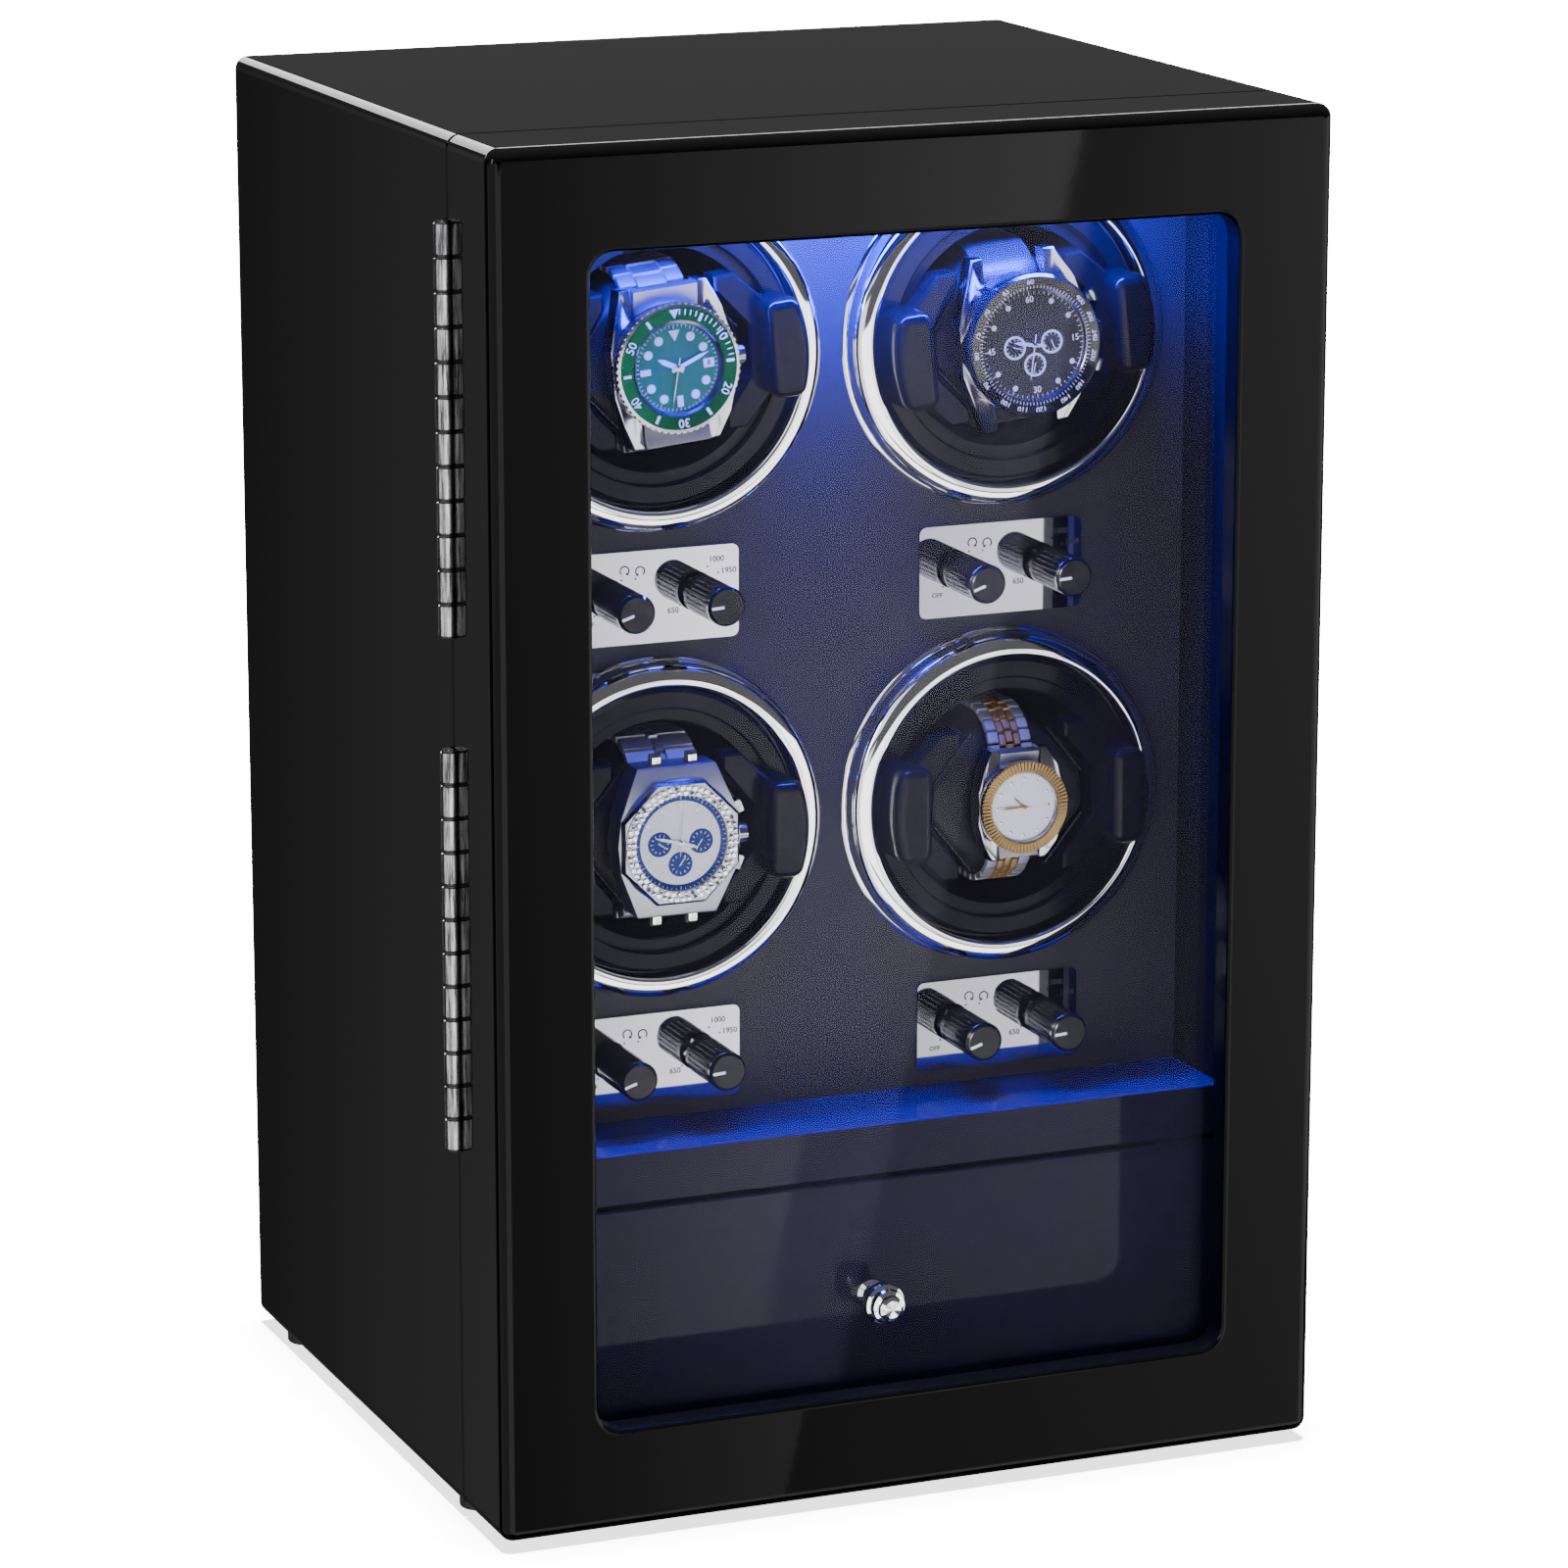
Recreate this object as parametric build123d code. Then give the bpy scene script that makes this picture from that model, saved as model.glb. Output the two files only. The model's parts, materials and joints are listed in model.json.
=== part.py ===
"""Watch winder box: a lacquered cabinet with a glazed door, four winding rotors and a drawer.

Millimetres. The shapes are laid out in case coordinates: x across from the middle of the case,
y back from the door's front face, z up from the underside of the case. save() moves them into
the part's own frame, whose origin is under the middle of the whole object, at the floor.
"""
from build123d import *
import math
import os

os.makedirs("parts", exist_ok=True)

# ---- driving dimensions ----
CASE_W = 257.0
CASE_D = 228.0
CASE_H = 400.0
FOOT_H = 3.0
BOARD = 12.0  # thickness of the case and door boards
EDGE_R = 4.0  # rounding of the lacquered outer edges
SEAM_CHAMFER = 0.5  # on the edges that meet at the seam
DOOR_D = 33.6
SEAM = 0.8  # gap between door and cabinet
LINING = 1.5  # covering of the display space's walls

HALF_W = CASE_W / 2
CAB_FRONT = DOOR_D + SEAM
SEAM_Y = DOOR_D + SEAM / 2
WALL_X = HALF_W - BOARD  # inner face of the side boards
FLOOR_Z = BOARD
CEIL_Z = CASE_H - BOARD

# door
STILE = 29.5  # width of the frame round the window
WINDOW_R = 7.0
LIP_R = 1.6
GLASS_Y = 8.3
GLASS_T = 3.0
GLASS_LAP = 10.0
RETAINER_T = 4.0
RETAINER_OPEN = 4.0  # how far the retainer's opening stands outside the window

# hinges
PIN_R = 1.25
PIN_CLEAR = 0.05
KNUCKLE_R = 2.6
KNUCKLE_PITCH = 9.8
KNUCKLES = 12
KNUCKLE_GAP = 0.1
LEAF_T = 1.0
LEAF_W = 9.3
LEAF_CLEAR = 0.3  # from a leaf's edge to the other leaf's knuckles
HINGE_X = -HALF_W - 1.2
HINGE_MID_Z = (167.5, 317.5)
HINGE_LEN = KNUCKLES * KNUCKLE_PITCH
NOTCH_R = KNUCKLE_R + 0.4
SCREWS_PER_LEAF = 5

# winder panel
SHELF_Y = 37.0
SHELF_TOP = 100.5
SHELF_T = 15.9
LEATHER_Y = 68.5
LEATHER_T = 1.0
PANEL_Y = LEATHER_Y + LEATHER_T
PANEL_T = 5.0
PANEL_BACK = PANEL_Y + PANEL_T

# rotors, numbered from the top left: across, then down
ROTOR_X = 55.0
ROTOR_Z = (328.0, 189.0)
ROTOR_AT = [(x, z) for z in ROTOR_Z for x in (-ROTOR_X, ROTOR_X)]
ROTOR_TURN = (5.5, 6.0, 0.0, 0.0)  # where each one stopped, anticlockwise from the front
RING_R = 50.0
RING_IN_R = 43.6
RING_FLANGE_R = 51.0
RING_Y = 59.0
HOUSING_R = 44.8
HOUSING_IN_R = 43.4
HOUSING_FLANGE_R = 48.0
HOUSING_FLANGE_T = 2.0
HOUSING_BACK = 117.0
CUP_R = 42.4
CUP_FRONT = 62.0
CUP_BACK = 112.0
SHAFT_R = 3.0
SHAFT_CLEAR = 0.05

CUP_RIM = 1.0  # rounding of the rim
CUP_FLOOR = 3.0
CUP_WALL = 2.4
STEP_IN = 2.0  # from the cup's rim back to its inner step
STEP_R = 36.4
MOUTH_R = 33.0

EAR_FRONT = 48.0
EAR_IN = 29.0
EAR_R = 41.6
EAR_H = 29.0
EAR_BACK = 14.0  # from the cup's rim back, inside its wall
EAR_CORNER = 3.6
EAR_EDGE = 3.0

CUSHION = (51.0, 42.0, 50.0)
CUSHION_FRONT = 60.0
CUSHION_R = 14.0
CUSHION_EDGE_R = 2.5
CUSHION_END_H = 13.0  # height of the flat ends, between slanting corners
CUSHION_TOP_W = 21.0  # width of the top, between slanting corners

GRIP_FRONT = 57.0
GRIP_CLEAR = 0.8  # from the cushion's slanting corners
GRIP_END = 17.0  # where each arm stops, beside the rotor's middle
GRIP_OUT = (31.5, 22.6)  # half width and half height over both grips
GRIP_CORNER = 8.5
GRIP_DEPTH = 3.5  # from the cup's rim back
GRIP_CHAMFER = 0.8

# each watch: case radius, bezel front and band width
WATCHES = ((19.6, 46.5, 20.0), (19.8, 43.5, 20.0), (19.4, 45.5, 24.0), (14.0, 47.5, 14.0))
BAND_T = 2.4
BAND_CLEAR = 0.3

# control plates and knobs
PLATE_W = 52.5
PLATE_H = 27.5
PLATE_T = 1.5
PLATE_DROP = 70.0  # plate centre below its rotor's centre
PLATE_R = 2.2
KNOB_X = 13.9
KNOB_R = 5.8
KNOB_FRONT = 45.0
NUT_T = 2.0
NUT_FLATS = 9.0
BUSH_R = 3.5
SPINDLE_R = 3.0
SWITCH_BODY = (14.0, 9.0, 14.0)

# drawer
DRAWER_SIDE_GAP = 1.0
DRAWER_GAP = 1.2
DRAWER_FRONT_T = 9.0
DRAWER_TOP = SHELF_TOP - SHELF_T - DRAWER_GAP
DRAWER_LOW = FLOOR_Z + 1.0
TRAY_LOW = FLOOR_Z + 0.2
TRAY_SIDE_GAP = 1.5  # how far the tray's sides stand inside the front's ends
TRAY_TOP = 76.0
TRAY_BACK = 206.0
TRAY_WALL = 5.0
FELT_T = 1.2
DRAWER_KNOB_Z = 49.0
DRAWER_KNOB_LEN = 19.0
KNOB_SCREW_R = 2.0
KNOB_SCREW_IN = 8.0  # how far the screw reaches into the knob

# back
BACK_T = 5.0
BACK_INSET = 1.0
REBATE = 4.5
BACK_Y = CASE_D - BACK_INSET - BACK_T
JACK_AT = (60.0, 120.0)
ROCKER_AT = (60.0, 145.0)


# ---- helpers ----
def block(x, y, z):
    """A box from three (low, high) pairs."""
    middle = Pos((x[0] + x[1]) / 2, (y[0] + y[1]) / 2, (z[0] + z[1]) / 2)
    return middle * Box(x[1] - x[0], y[1] - y[0], z[1] - z[0])


def rod(x, z, radius, y0, y1):
    """A round bar along Y."""
    return Pos(x, (y0 + y1) / 2, z) * Rot(90, 0, 0) * Cylinder(radius, y1 - y0)


def post(x, y, radius, z0, z1):
    """A round bar along Z."""
    return Pos(x, y, (z0 + z1) / 2) * Cylinder(radius, z1 - z0)


def plate(x, z, width, height, radius, y0, y1):
    """A rounded rectangle facing the front, between two depths."""
    plane = Plane(origin=(x, y0, z), x_dir=(1, 0, 0), z_dir=(0, 1, 0))
    return extrude(plane * RectangleRounded(width, height, radius), y1 - y0)


def turned(x, z, points):
    """A solid turned about the Y line through x, z, from (radius, y) points."""
    outline = Polyline(*[(r, y) for r, y in points], close=True)
    return Pos(x, 0, z) * revolve(make_face(outline), Axis.Y)


def ring(x, z, outer, inner, y0, y1):
    """A plain ring round the Y line through x, z."""
    return turned(x, z, [(inner, y0), (outer, y0), (outer, y1), (inner, y1)])


def screw(x, y, z, inward, head_r=2.0, shank_r=1.1, length=9.0):
    """A countersunk screw along Y with its head flush at y, driven in along inward (+1 or -1)."""
    sink = head_r - shank_r
    shape = turned(0, 0, [(0, 0), (head_r, 0), (shank_r, sink), (shank_r, length), (0, length)])
    if inward < 0:
        shape = Rot(180, 0, 0) * shape
    return Pos(x, y, z) * shape


def edges_at(solid, axis, *rules):
    """The edges parallel to an axis whose centres pass every rule."""
    found = solid.edges().filter_by(axis)
    return [e for e in found if all(rule(e.center()) for rule in rules)]


def spin(shape, k):
    """Turn a shape about rotor k's axis to where that rotor stopped."""
    x, z = ROTOR_AT[k]
    return Pos(x, 0, z) * Rot(0, -ROTOR_TURN[k], 0) * Pos(-x, 0, -z) * shape


# The barrel stands proud on the left, so the middle of the whole object is left of the case's.
PROUD = -HALF_W - (HINGE_X - KNUCKLE_R)
TO_FRAME = Pos(PROUD / 2, -CASE_D / 2, FOOT_H)


def save(name, solids):
    """Write one sub-part, moved into the part's frame."""
    moved = [TO_FRAME * solid for solid in solids]
    shape = moved[0] if len(moved) == 1 else Compound(children=moved)
    export_step(shape, f"parts/{name}.step")


# ---- hinges ----
def hinge_span(mid):
    """The lowest and highest points of the hinge centred at mid."""
    return mid - HINGE_LEN / 2, mid + HINGE_LEN / 2


def hinge_leaf(mid, face_y, side, bore_r, first):
    """A leaf whose outer face lies at face_y, with every second knuckle from first."""
    low, high = hinge_span(mid)
    near, far = HINGE_X + KNUCKLE_R + LEAF_CLEAR, HINGE_X + KNUCKLE_R + LEAF_CLEAR + LEAF_W
    depth = sorted((face_y, face_y + side * LEAF_T))
    leaf = block((near, far), depth, (low, high))
    for n in range(first, KNUCKLES, 2):
        z0 = low + n * KNUCKLE_PITCH + KNUCKLE_GAP / 2
        z1 = z0 + KNUCKLE_PITCH - KNUCKLE_GAP
        tab = block((HINGE_X, near), depth, (z0, z1))
        leaf += tab + post(HINGE_X, SEAM_Y, KNUCKLE_R, z0, z1)
    leaf -= post(HINGE_X, SEAM_Y, bore_r, low - 1, high + 1)
    for tool in leaf_screws(mid, face_y, side):
        leaf -= tool
    return leaf


def leaf_screws(mid, face_y, side):
    """Flush screws down the middle of a leaf, driven away from the seam."""
    low, high = hinge_span(mid)
    x = HINGE_X + KNUCKLE_R + LEAF_CLEAR + LEAF_W / 2
    step = (high - low) / SCREWS_PER_LEAF
    return [screw(x, face_y, low + step * (n + 0.5), side) for n in range(SCREWS_PER_LEAF)]


def hinge_cuts(face_y, side):
    """The notch for the barrel, the leaf's mortise and the screw holes."""
    tools = []
    for mid in HINGE_MID_Z:
        low, high = hinge_span(mid)
        depth = sorted((face_y - side, face_y + side * LEAF_T))
        far = HINGE_X + KNUCKLE_R + LEAF_CLEAR + LEAF_W
        tools.append(post(HINGE_X, SEAM_Y, NOTCH_R, low - LEAF_CLEAR, high + LEAF_CLEAR))
        tools.append(block((HINGE_X, far), depth, (low, high)))
        tools += leaf_screws(mid, face_y, side)
    return tools


def hinge_pins():
    """One pin through each hinge's knuckles."""
    pins = []
    for mid in HINGE_MID_Z:
        low, high = hinge_span(mid)
        pins.append(post(HINGE_X, SEAM_Y, PIN_R, low, high))
    return pins


# ---- cabinet ----
MAGNET_R = 5.0
MAGNET_T = 4.0
STRIKE_T = 1.0
CATCH_X = HALF_W - BOARD / 2
CATCH_Z = (130.0, 270.0)
FOOT_R = 6.0
FOOT_INSET = 8.0
FOOT_BACK = 24.0  # the rear feet's distance from the back
FOOT_EDGE = 0.8
BACK_SCREWS = 4  # down each side


def outer_case(y0, y1):
    """The outline of the case, its long edges rounded, between two depths."""
    solid = block((-HALF_W, HALF_W), (y0, y1), (0, CASE_H))
    return fillet(solid.edges().filter_by(Axis.Y), EDGE_R)


def cabinet_shell():
    """Four boards joined into a tube, rebated for the back and cut for hinges and catches."""
    shell = outer_case(CAB_FRONT, CASE_D)
    shell = fillet(shell.faces().sort_by(Axis.Y)[-1].edges(), EDGE_R / 2)
    shell = chamfer(shell.faces().sort_by(Axis.Y)[0].edges(), SEAM_CHAMFER)
    shell -= block((-WALL_X, WALL_X), (CAB_FRONT - 1, CASE_D + 1), (FLOOR_Z, CEIL_Z))
    rim_x = WALL_X + REBATE
    shell -= block((-rim_x, rim_x), (BACK_Y, CASE_D + 1), (FLOOR_Z - REBATE, CEIL_Z + REBATE))
    for tool in hinge_cuts(CAB_FRONT, 1) + catch_magnets() + back_screws():
        shell -= tool
    return shell


def catch_magnets():
    """Magnets let into the cabinet's edge on the opening side."""
    return [rod(CATCH_X, z, MAGNET_R, CAB_FRONT, CAB_FRONT + MAGNET_T) for z in CATCH_Z]


def strike_plates():
    """Steel discs let into the door, opposite the magnets."""
    return [rod(CATCH_X, z, MAGNET_R, DOOR_D - STRIKE_T, DOOR_D) for z in CATCH_Z]


def back_screws():
    """Screws down both sides of the back."""
    rim_x = WALL_X + REBATE / 2
    face = BACK_Y + BACK_T
    rows = [FLOOR_Z + (CEIL_Z - FLOOR_Z) * n / (BACK_SCREWS - 1) for n in range(BACK_SCREWS)]
    rows[0] -= REBATE / 2
    rows[-1] += REBATE / 2
    return [screw(x, face, z, -1, head_r=1.9, length=14.0) for x in (-rim_x, rim_x) for z in rows]


JACK_R = 5.5
JACK_FLANGE = 1.5
JACK_DEPTH = 12.0  # behind the back's inner face
JACK_HOLE_R = 3.2
JACK_PIN_R = 1.05
ROCKER_W = 13.0
ROCKER_H = 19.0


def back_panel():
    """The back board, with holes for the inlet and the switch."""
    rim_x = WALL_X + REBATE
    board = block((-rim_x, rim_x), (BACK_Y, BACK_Y + BACK_T), (FLOOR_Z - REBATE, CEIL_Z + REBATE))
    board -= rod(*JACK_AT, JACK_R, BACK_Y - 1, CASE_D)
    board -= plate(*ROCKER_AT, ROCKER_W, ROCKER_H, 0.5, BACK_Y - 1, CASE_D)
    for tool in back_screws():
        board -= tool
    return board


def dc_jack():
    """A flanged low-voltage inlet with a centre pin."""
    face = BACK_Y + BACK_T
    body = rod(*JACK_AT, JACK_R, BACK_Y - JACK_DEPTH, face)
    body += rod(*JACK_AT, JACK_R + JACK_FLANGE, face, CASE_D)
    body -= rod(*JACK_AT, JACK_HOLE_R, BACK_Y - JACK_DEPTH + 4, CASE_D + 1)
    return body + rod(*JACK_AT, JACK_PIN_R, BACK_Y - JACK_DEPTH + 3, face - 1)


ROCKER_R = 5.6
ROCKER_TILT = 8.0
ROCKER_FLAT_H = 12.4
ROCKER_PROUD = 0.8  # how far the housing's rim stands outside the rocker
ROCKER_WALL = 1.5  # the housing's wall beside the rocker
SWITCH_DEPTH = 10.0
PIVOT_R = 1.0
PIVOT_Y = BACK_Y + 0.5


def rocker_pivot(reach, radius):
    """A bar along the rocker's turning line, reaching this far each way."""
    x, z = ROCKER_AT
    return Pos(x, PIVOT_Y, z) * Rot(0, 90, 0) * Cylinder(radius, 2 * reach)


def switch_housing():
    """An open tub with a rim, and pivot holes in its two side walls."""
    face = BACK_Y + BACK_T
    width, height = ROCKER_W - 2 * ROCKER_WALL, ROCKER_H - 4
    body = plate(*ROCKER_AT, ROCKER_W, ROCKER_H, 0.5, BACK_Y - SWITCH_DEPTH, face)
    body += plate(*ROCKER_AT, ROCKER_W + 2, ROCKER_H + 2, 1.0, face, CASE_D)
    body -= plate(*ROCKER_AT, width, height, 0.5, BACK_Y - SWITCH_DEPTH + 3, CASE_D + 1)
    return body - rocker_pivot(ROCKER_W / 2, PIVOT_R + PIN_CLEAR)


def switch_rocker():
    """A rocker that turns about an X line in the housing, shown switched on."""
    x, z = ROCKER_AT
    width = ROCKER_W - 2 * ROCKER_WALL - 0.4
    front, half_h = CASE_D - ROCKER_PROUD, ROCKER_FLAT_H / 2
    flat = block((x - width / 2, x + width / 2), (PIVOT_Y, front), (z - half_h, z + half_h))
    flat = chamfer(edges_at(flat, Axis.X, lambda c: c.Y > front - 0.4), 1.0)
    rocker = rocker_pivot(width / 2, ROCKER_R) + flat + rocker_pivot(ROCKER_W / 2 - 0.4, PIVOT_R)
    return Pos(x, PIVOT_Y, z) * Rot(ROCKER_TILT, 0, 0) * Pos(-x, -PIVOT_Y, -z) * rocker


def feet():
    """Four round pads under the cabinet, their lower edges rounded."""
    pads = []
    for x in (-HALF_W + FOOT_INSET, HALF_W - FOOT_INSET):
        for y in (CAB_FRONT + FOOT_INSET, CASE_D - FOOT_BACK):
            pad = post(x, y, FOOT_R, -FOOT_H, 0)
            pads.append(fillet(pad.edges().sort_by(Axis.Z)[0], FOOT_EDGE))
    return pads


def wall_lining():
    """Coverings of the display space's two side walls and its ceiling."""
    depth = (CAB_FRONT + 1.0, LEATHER_Y)
    left = block((-WALL_X, -WALL_X + LINING), depth, (SHELF_TOP, CEIL_Z - LINING))
    right = block((WALL_X - LINING, WALL_X), depth, (SHELF_TOP, CEIL_Z - LINING))
    return [left, right, block((-WALL_X, WALL_X), depth, (CEIL_Z - LINING, CEIL_Z))]


def panel_holes(y0, y1):
    """Tools for the rotor and knob holes, between two depths."""
    tools = [rod(x, z, HOUSING_R + 0.2, y0, y1) for x, z in ROTOR_AT]
    return tools + [rod(x, z, BUSH_R, y0, y1) for x, z in KNOB_AT]


def winder_panel():
    """The board that carries the rotors and switches."""
    board = block((-WALL_X, WALL_X), (PANEL_Y, PANEL_BACK), (SHELF_TOP, CEIL_Z))
    for tool in panel_holes(PANEL_Y - 1, PANEL_BACK + 1):
        board -= tool
    return board


def panel_leather():
    """The covering of the winder panel, with the same holes."""
    skin = block((-WALL_X, WALL_X), (LEATHER_Y, PANEL_Y), (SHELF_TOP, CEIL_Z))
    for tool in panel_holes(LEATHER_Y - 1, PANEL_Y + 1):
        skin -= tool
    return skin


def divider_shelf():
    """The board between the display space and the drawer."""
    board = block((-WALL_X, WALL_X), (SHELF_Y, BACK_Y), (SHELF_TOP - SHELF_T, SHELF_TOP))
    return chamfer(edges_at(board, Axis.X, lambda c: c.Y < SHELF_Y + 1), 0.6)


LED_Y = 44.0
LED_W = 180.0
LED_T = 0.8
LED_COUNT = 10
CHIP = 5.0
CHIP_T = 1.2
COVER_R = 6.5
COVER_T = 1.2
COVER_END = 3.0  # how far the cover runs past the strip


def led_strip():
    """A strip of light chips under the ceiling."""
    top = CEIL_Z - LINING
    board = block((-LED_W / 2, LED_W / 2), (LED_Y - 4, LED_Y + 4), (top - LED_T, top))
    low = top - LED_T - CHIP_T
    for n in range(LED_COUNT):
        x = LED_W * ((n + 0.5) / LED_COUNT - 0.5)
        board += block(
            (x - CHIP / 2, x + CHIP / 2), (LED_Y - CHIP / 2, LED_Y + CHIP / 2), (low, top - LED_T)
        )
    return board


def led_cover():
    """A half-round diffuser over the light strip."""
    top = CEIL_Z - LINING
    reach = LED_W / 2 + COVER_END
    outer = Pos(0, LED_Y, top) * Rot(0, 90, 0) * Cylinder(COVER_R, 2 * reach)
    inner = Pos(0, LED_Y, top) * Rot(0, 90, 0) * Cylinder(COVER_R - COVER_T, 2 * reach - COVER_END)
    below = block((-reach - 1, reach + 1), (LED_Y - 8, LED_Y + 8), (top - 8, top))
    return (outer & below) - inner


BOARD_Z = (150.0, 366.0)
BOARD_STANDOFF = 6.0
POST_Z = (156.0, 258.0, 360.0)
CHIP_Z = (180.0, 230.0, 290.0, 335.0)


def control_board():
    """The driver board, standing on posts on the back of the panel between the rotors."""
    front = PANEL_BACK + BOARD_STANDOFF
    back = front + 1.6
    board = block((-6, 6), (front, back), BOARD_Z)
    for z in POST_Z:
        board += rod(0, z, 2.5, PANEL_BACK, front)
    for z in CHIP_Z:
        board += block((-4, 4), (back, back + 3.4), (z - 6, z + 6))
    return board


# ---- rotors ----
RING_LIP = 1.2  # thickness of the thin outer flange
RING_IN_Y = RING_Y + 2.5
RING_OUT_Y = RING_Y + 4.0


def bezel_ring(x, z):
    """A domed ring with a thin flange, hollowed behind for the housing's flange."""
    lip_y = LEATHER_Y - RING_LIP
    seat_y = LEATHER_Y - HOUSING_FLANGE_T
    mid_r = (RING_R + RING_IN_R) / 2
    with BuildSketch(Plane.XY) as profile:
        with BuildLine():
            Line((RING_IN_R, seat_y), (RING_IN_R, RING_IN_Y))
            ThreePointArc((RING_IN_R, RING_IN_Y), (mid_r, RING_Y), (RING_R, RING_OUT_Y))
            Line((RING_R, RING_OUT_Y), (RING_R, lip_y))
            Line((RING_R, lip_y), (RING_FLANGE_R, lip_y))
            Line((RING_FLANGE_R, lip_y), (RING_FLANGE_R, LEATHER_Y))
            Line((RING_FLANGE_R, LEATHER_Y), (HOUSING_FLANGE_R, LEATHER_Y))
            Line((HOUSING_FLANGE_R, LEATHER_Y), (HOUSING_FLANGE_R, seat_y))
            Line((HOUSING_FLANGE_R, seat_y), (RING_IN_R, seat_y))
        make_face()
    return Pos(x, 0, z) * revolve(profile.sketch, Axis.Y)


BUSH_OUT_R = 5.5
HOUSING_WALL = 3.5  # thickness of its back wall


def rotor_housing(x, z):
    """A flanged tub with a seat for the bush in its back wall."""
    seat_y = LEATHER_Y - HOUSING_FLANGE_T
    inside = HOUSING_BACK - HOUSING_WALL
    return turned(x, z, [
        (HOUSING_IN_R, seat_y), (HOUSING_FLANGE_R, seat_y), (HOUSING_FLANGE_R, LEATHER_Y),
        (HOUSING_R, LEATHER_Y), (HOUSING_R, HOUSING_BACK), (BUSH_OUT_R, HOUSING_BACK),
        (BUSH_OUT_R, inside), (HOUSING_IN_R, inside),
    ])


def rotor_bush(x, z):
    """The plain bearing in the housing's back wall."""
    return ring(x, z, BUSH_OUT_R, SHAFT_R + SHAFT_CLEAR, HOUSING_BACK - 4.2, HOUSING_BACK)


GEARBOX_R = 18.5
GEARBOX_BACK = HOUSING_BACK + 24
MOTOR_R = 12.0
MOTOR_UP = 5.0  # the small motor's axis above the gearbox's
MOTOR_BACK = GEARBOX_BACK + 26
MOTOR_BOSS = 3.0
SHAFT_END = HOUSING_BACK + 14


def motor(x, z):
    """A geared motor: the gearbox takes the rotor's shaft, the small motor sits behind it."""
    gearbox = rod(x, z, GEARBOX_R, HOUSING_BACK, GEARBOX_BACK)
    gearbox += rod(x, z + MOTOR_UP, MOTOR_R, GEARBOX_BACK, MOTOR_BACK)
    gearbox += rod(x, z + MOTOR_UP, MOTOR_BOSS, MOTOR_BACK, MOTOR_BACK + MOTOR_BOSS)
    return gearbox - rod(x, z, SHAFT_R + SHAFT_CLEAR, HOUSING_BACK - 1, SHAFT_END + 0.5)


HUB_R = 8.0
HUB_FRONT = 105.0
SHAFT_FRONT = HUB_FRONT + 2.0


def rotor_shaft(x, z):
    """The shaft pressed into the cup's hub, running back into the gearbox."""
    return rod(x, z, SHAFT_R, SHAFT_FRONT, SHAFT_END)


def rotor_cup(x, z):
    """A deep cup: rounded rim, a step inside, and two ears with collars that hold the cushion."""
    step_y = CUP_FRONT + STEP_IN
    step_back = step_y + CUP_WALL
    floor_y = CUP_BACK - CUP_FLOOR
    inner_r = CUP_R - CUP_WALL
    lip = 0.6 * CUP_RIM
    cup = turned(x, z, [
        (STEP_R, CUP_FRONT + lip), (STEP_R + lip, CUP_FRONT),
        (CUP_R - CUP_RIM, CUP_FRONT), (CUP_R, CUP_FRONT + CUP_RIM),
        (CUP_R, CUP_BACK), (SHAFT_R, CUP_BACK), (SHAFT_R, SHAFT_FRONT), (0, SHAFT_FRONT),
        (0, HUB_FRONT), (HUB_R, HUB_FRONT), (HUB_R, floor_y), (inner_r, floor_y),
        (inner_r, step_back), (MOUTH_R, step_back), (MOUTH_R, step_y), (STEP_R, step_y),
    ])
    for side in (-1, 1):
        cup += rotor_ear(x, z, side) + rotor_grip(x, z, side)
    return cup


def front_outline(x, z, y, points):
    """A flat face from (x, z) points round a rotor's axis, facing back from depth y."""
    plane = Plane(origin=(x, y, z), x_dir=(1, 0, 0), z_dir=(0, -1, 0))
    return plane * make_face(Polyline(*points, close=True))


def rotor_grip(x, z, side):
    """Half of an eight-sided collar: an upright behind the ear and two slanting arms."""
    across, up = GRIP_OUT
    half_end, half_top = CUSHION_END_H / 2, CUSHION_TOP_W / 2
    rise = (CUSHION[2] / 2 - half_end) / (CUSHION[0] / 2 - half_top)
    inside = CUSHION[0] / 2 + GRIP_CLEAR
    arm_z = half_end + (inside - GRIP_END) * rise
    points = [
        (inside, 0), (inside, half_end), (GRIP_END, arm_z), (GRIP_END, up),
        (across - GRIP_CORNER, up), (across, up - GRIP_CORNER), (across, 0),
    ]
    back = CUP_FRONT + GRIP_DEPTH
    halves = []
    for end in (-1, 1):
        outline = [(side * px, end * pz) for px, pz in points]
        halves.append(extrude(front_outline(x, z, back, outline), back - GRIP_FRONT))
    grip = halves[0] + halves[1]
    front = grip.faces().sort_by(Axis.Y)[0]
    return chamfer(front.edges(), GRIP_CHAMFER)


def rotor_ear(x, z, side):
    """A smooth lobe that stands forward from the rim, curved outside and flat inside."""
    back = CUP_FRONT + EAR_BACK
    span = sorted((x + side * EAR_IN, x + side * (EAR_R + 1)))
    lobe = block(span, (EAR_FRONT, back), (z - EAR_H / 2, z + EAR_H / 2))
    lobe = lobe & rod(x, z, EAR_R, EAR_FRONT, back)
    lobe = fillet(lobe.edges().filter_by(Axis.Y), EAR_CORNER)
    front = lobe.faces().sort_by(Axis.Y)[0]
    return fillet(front.edges(), EAR_EDGE)


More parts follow.
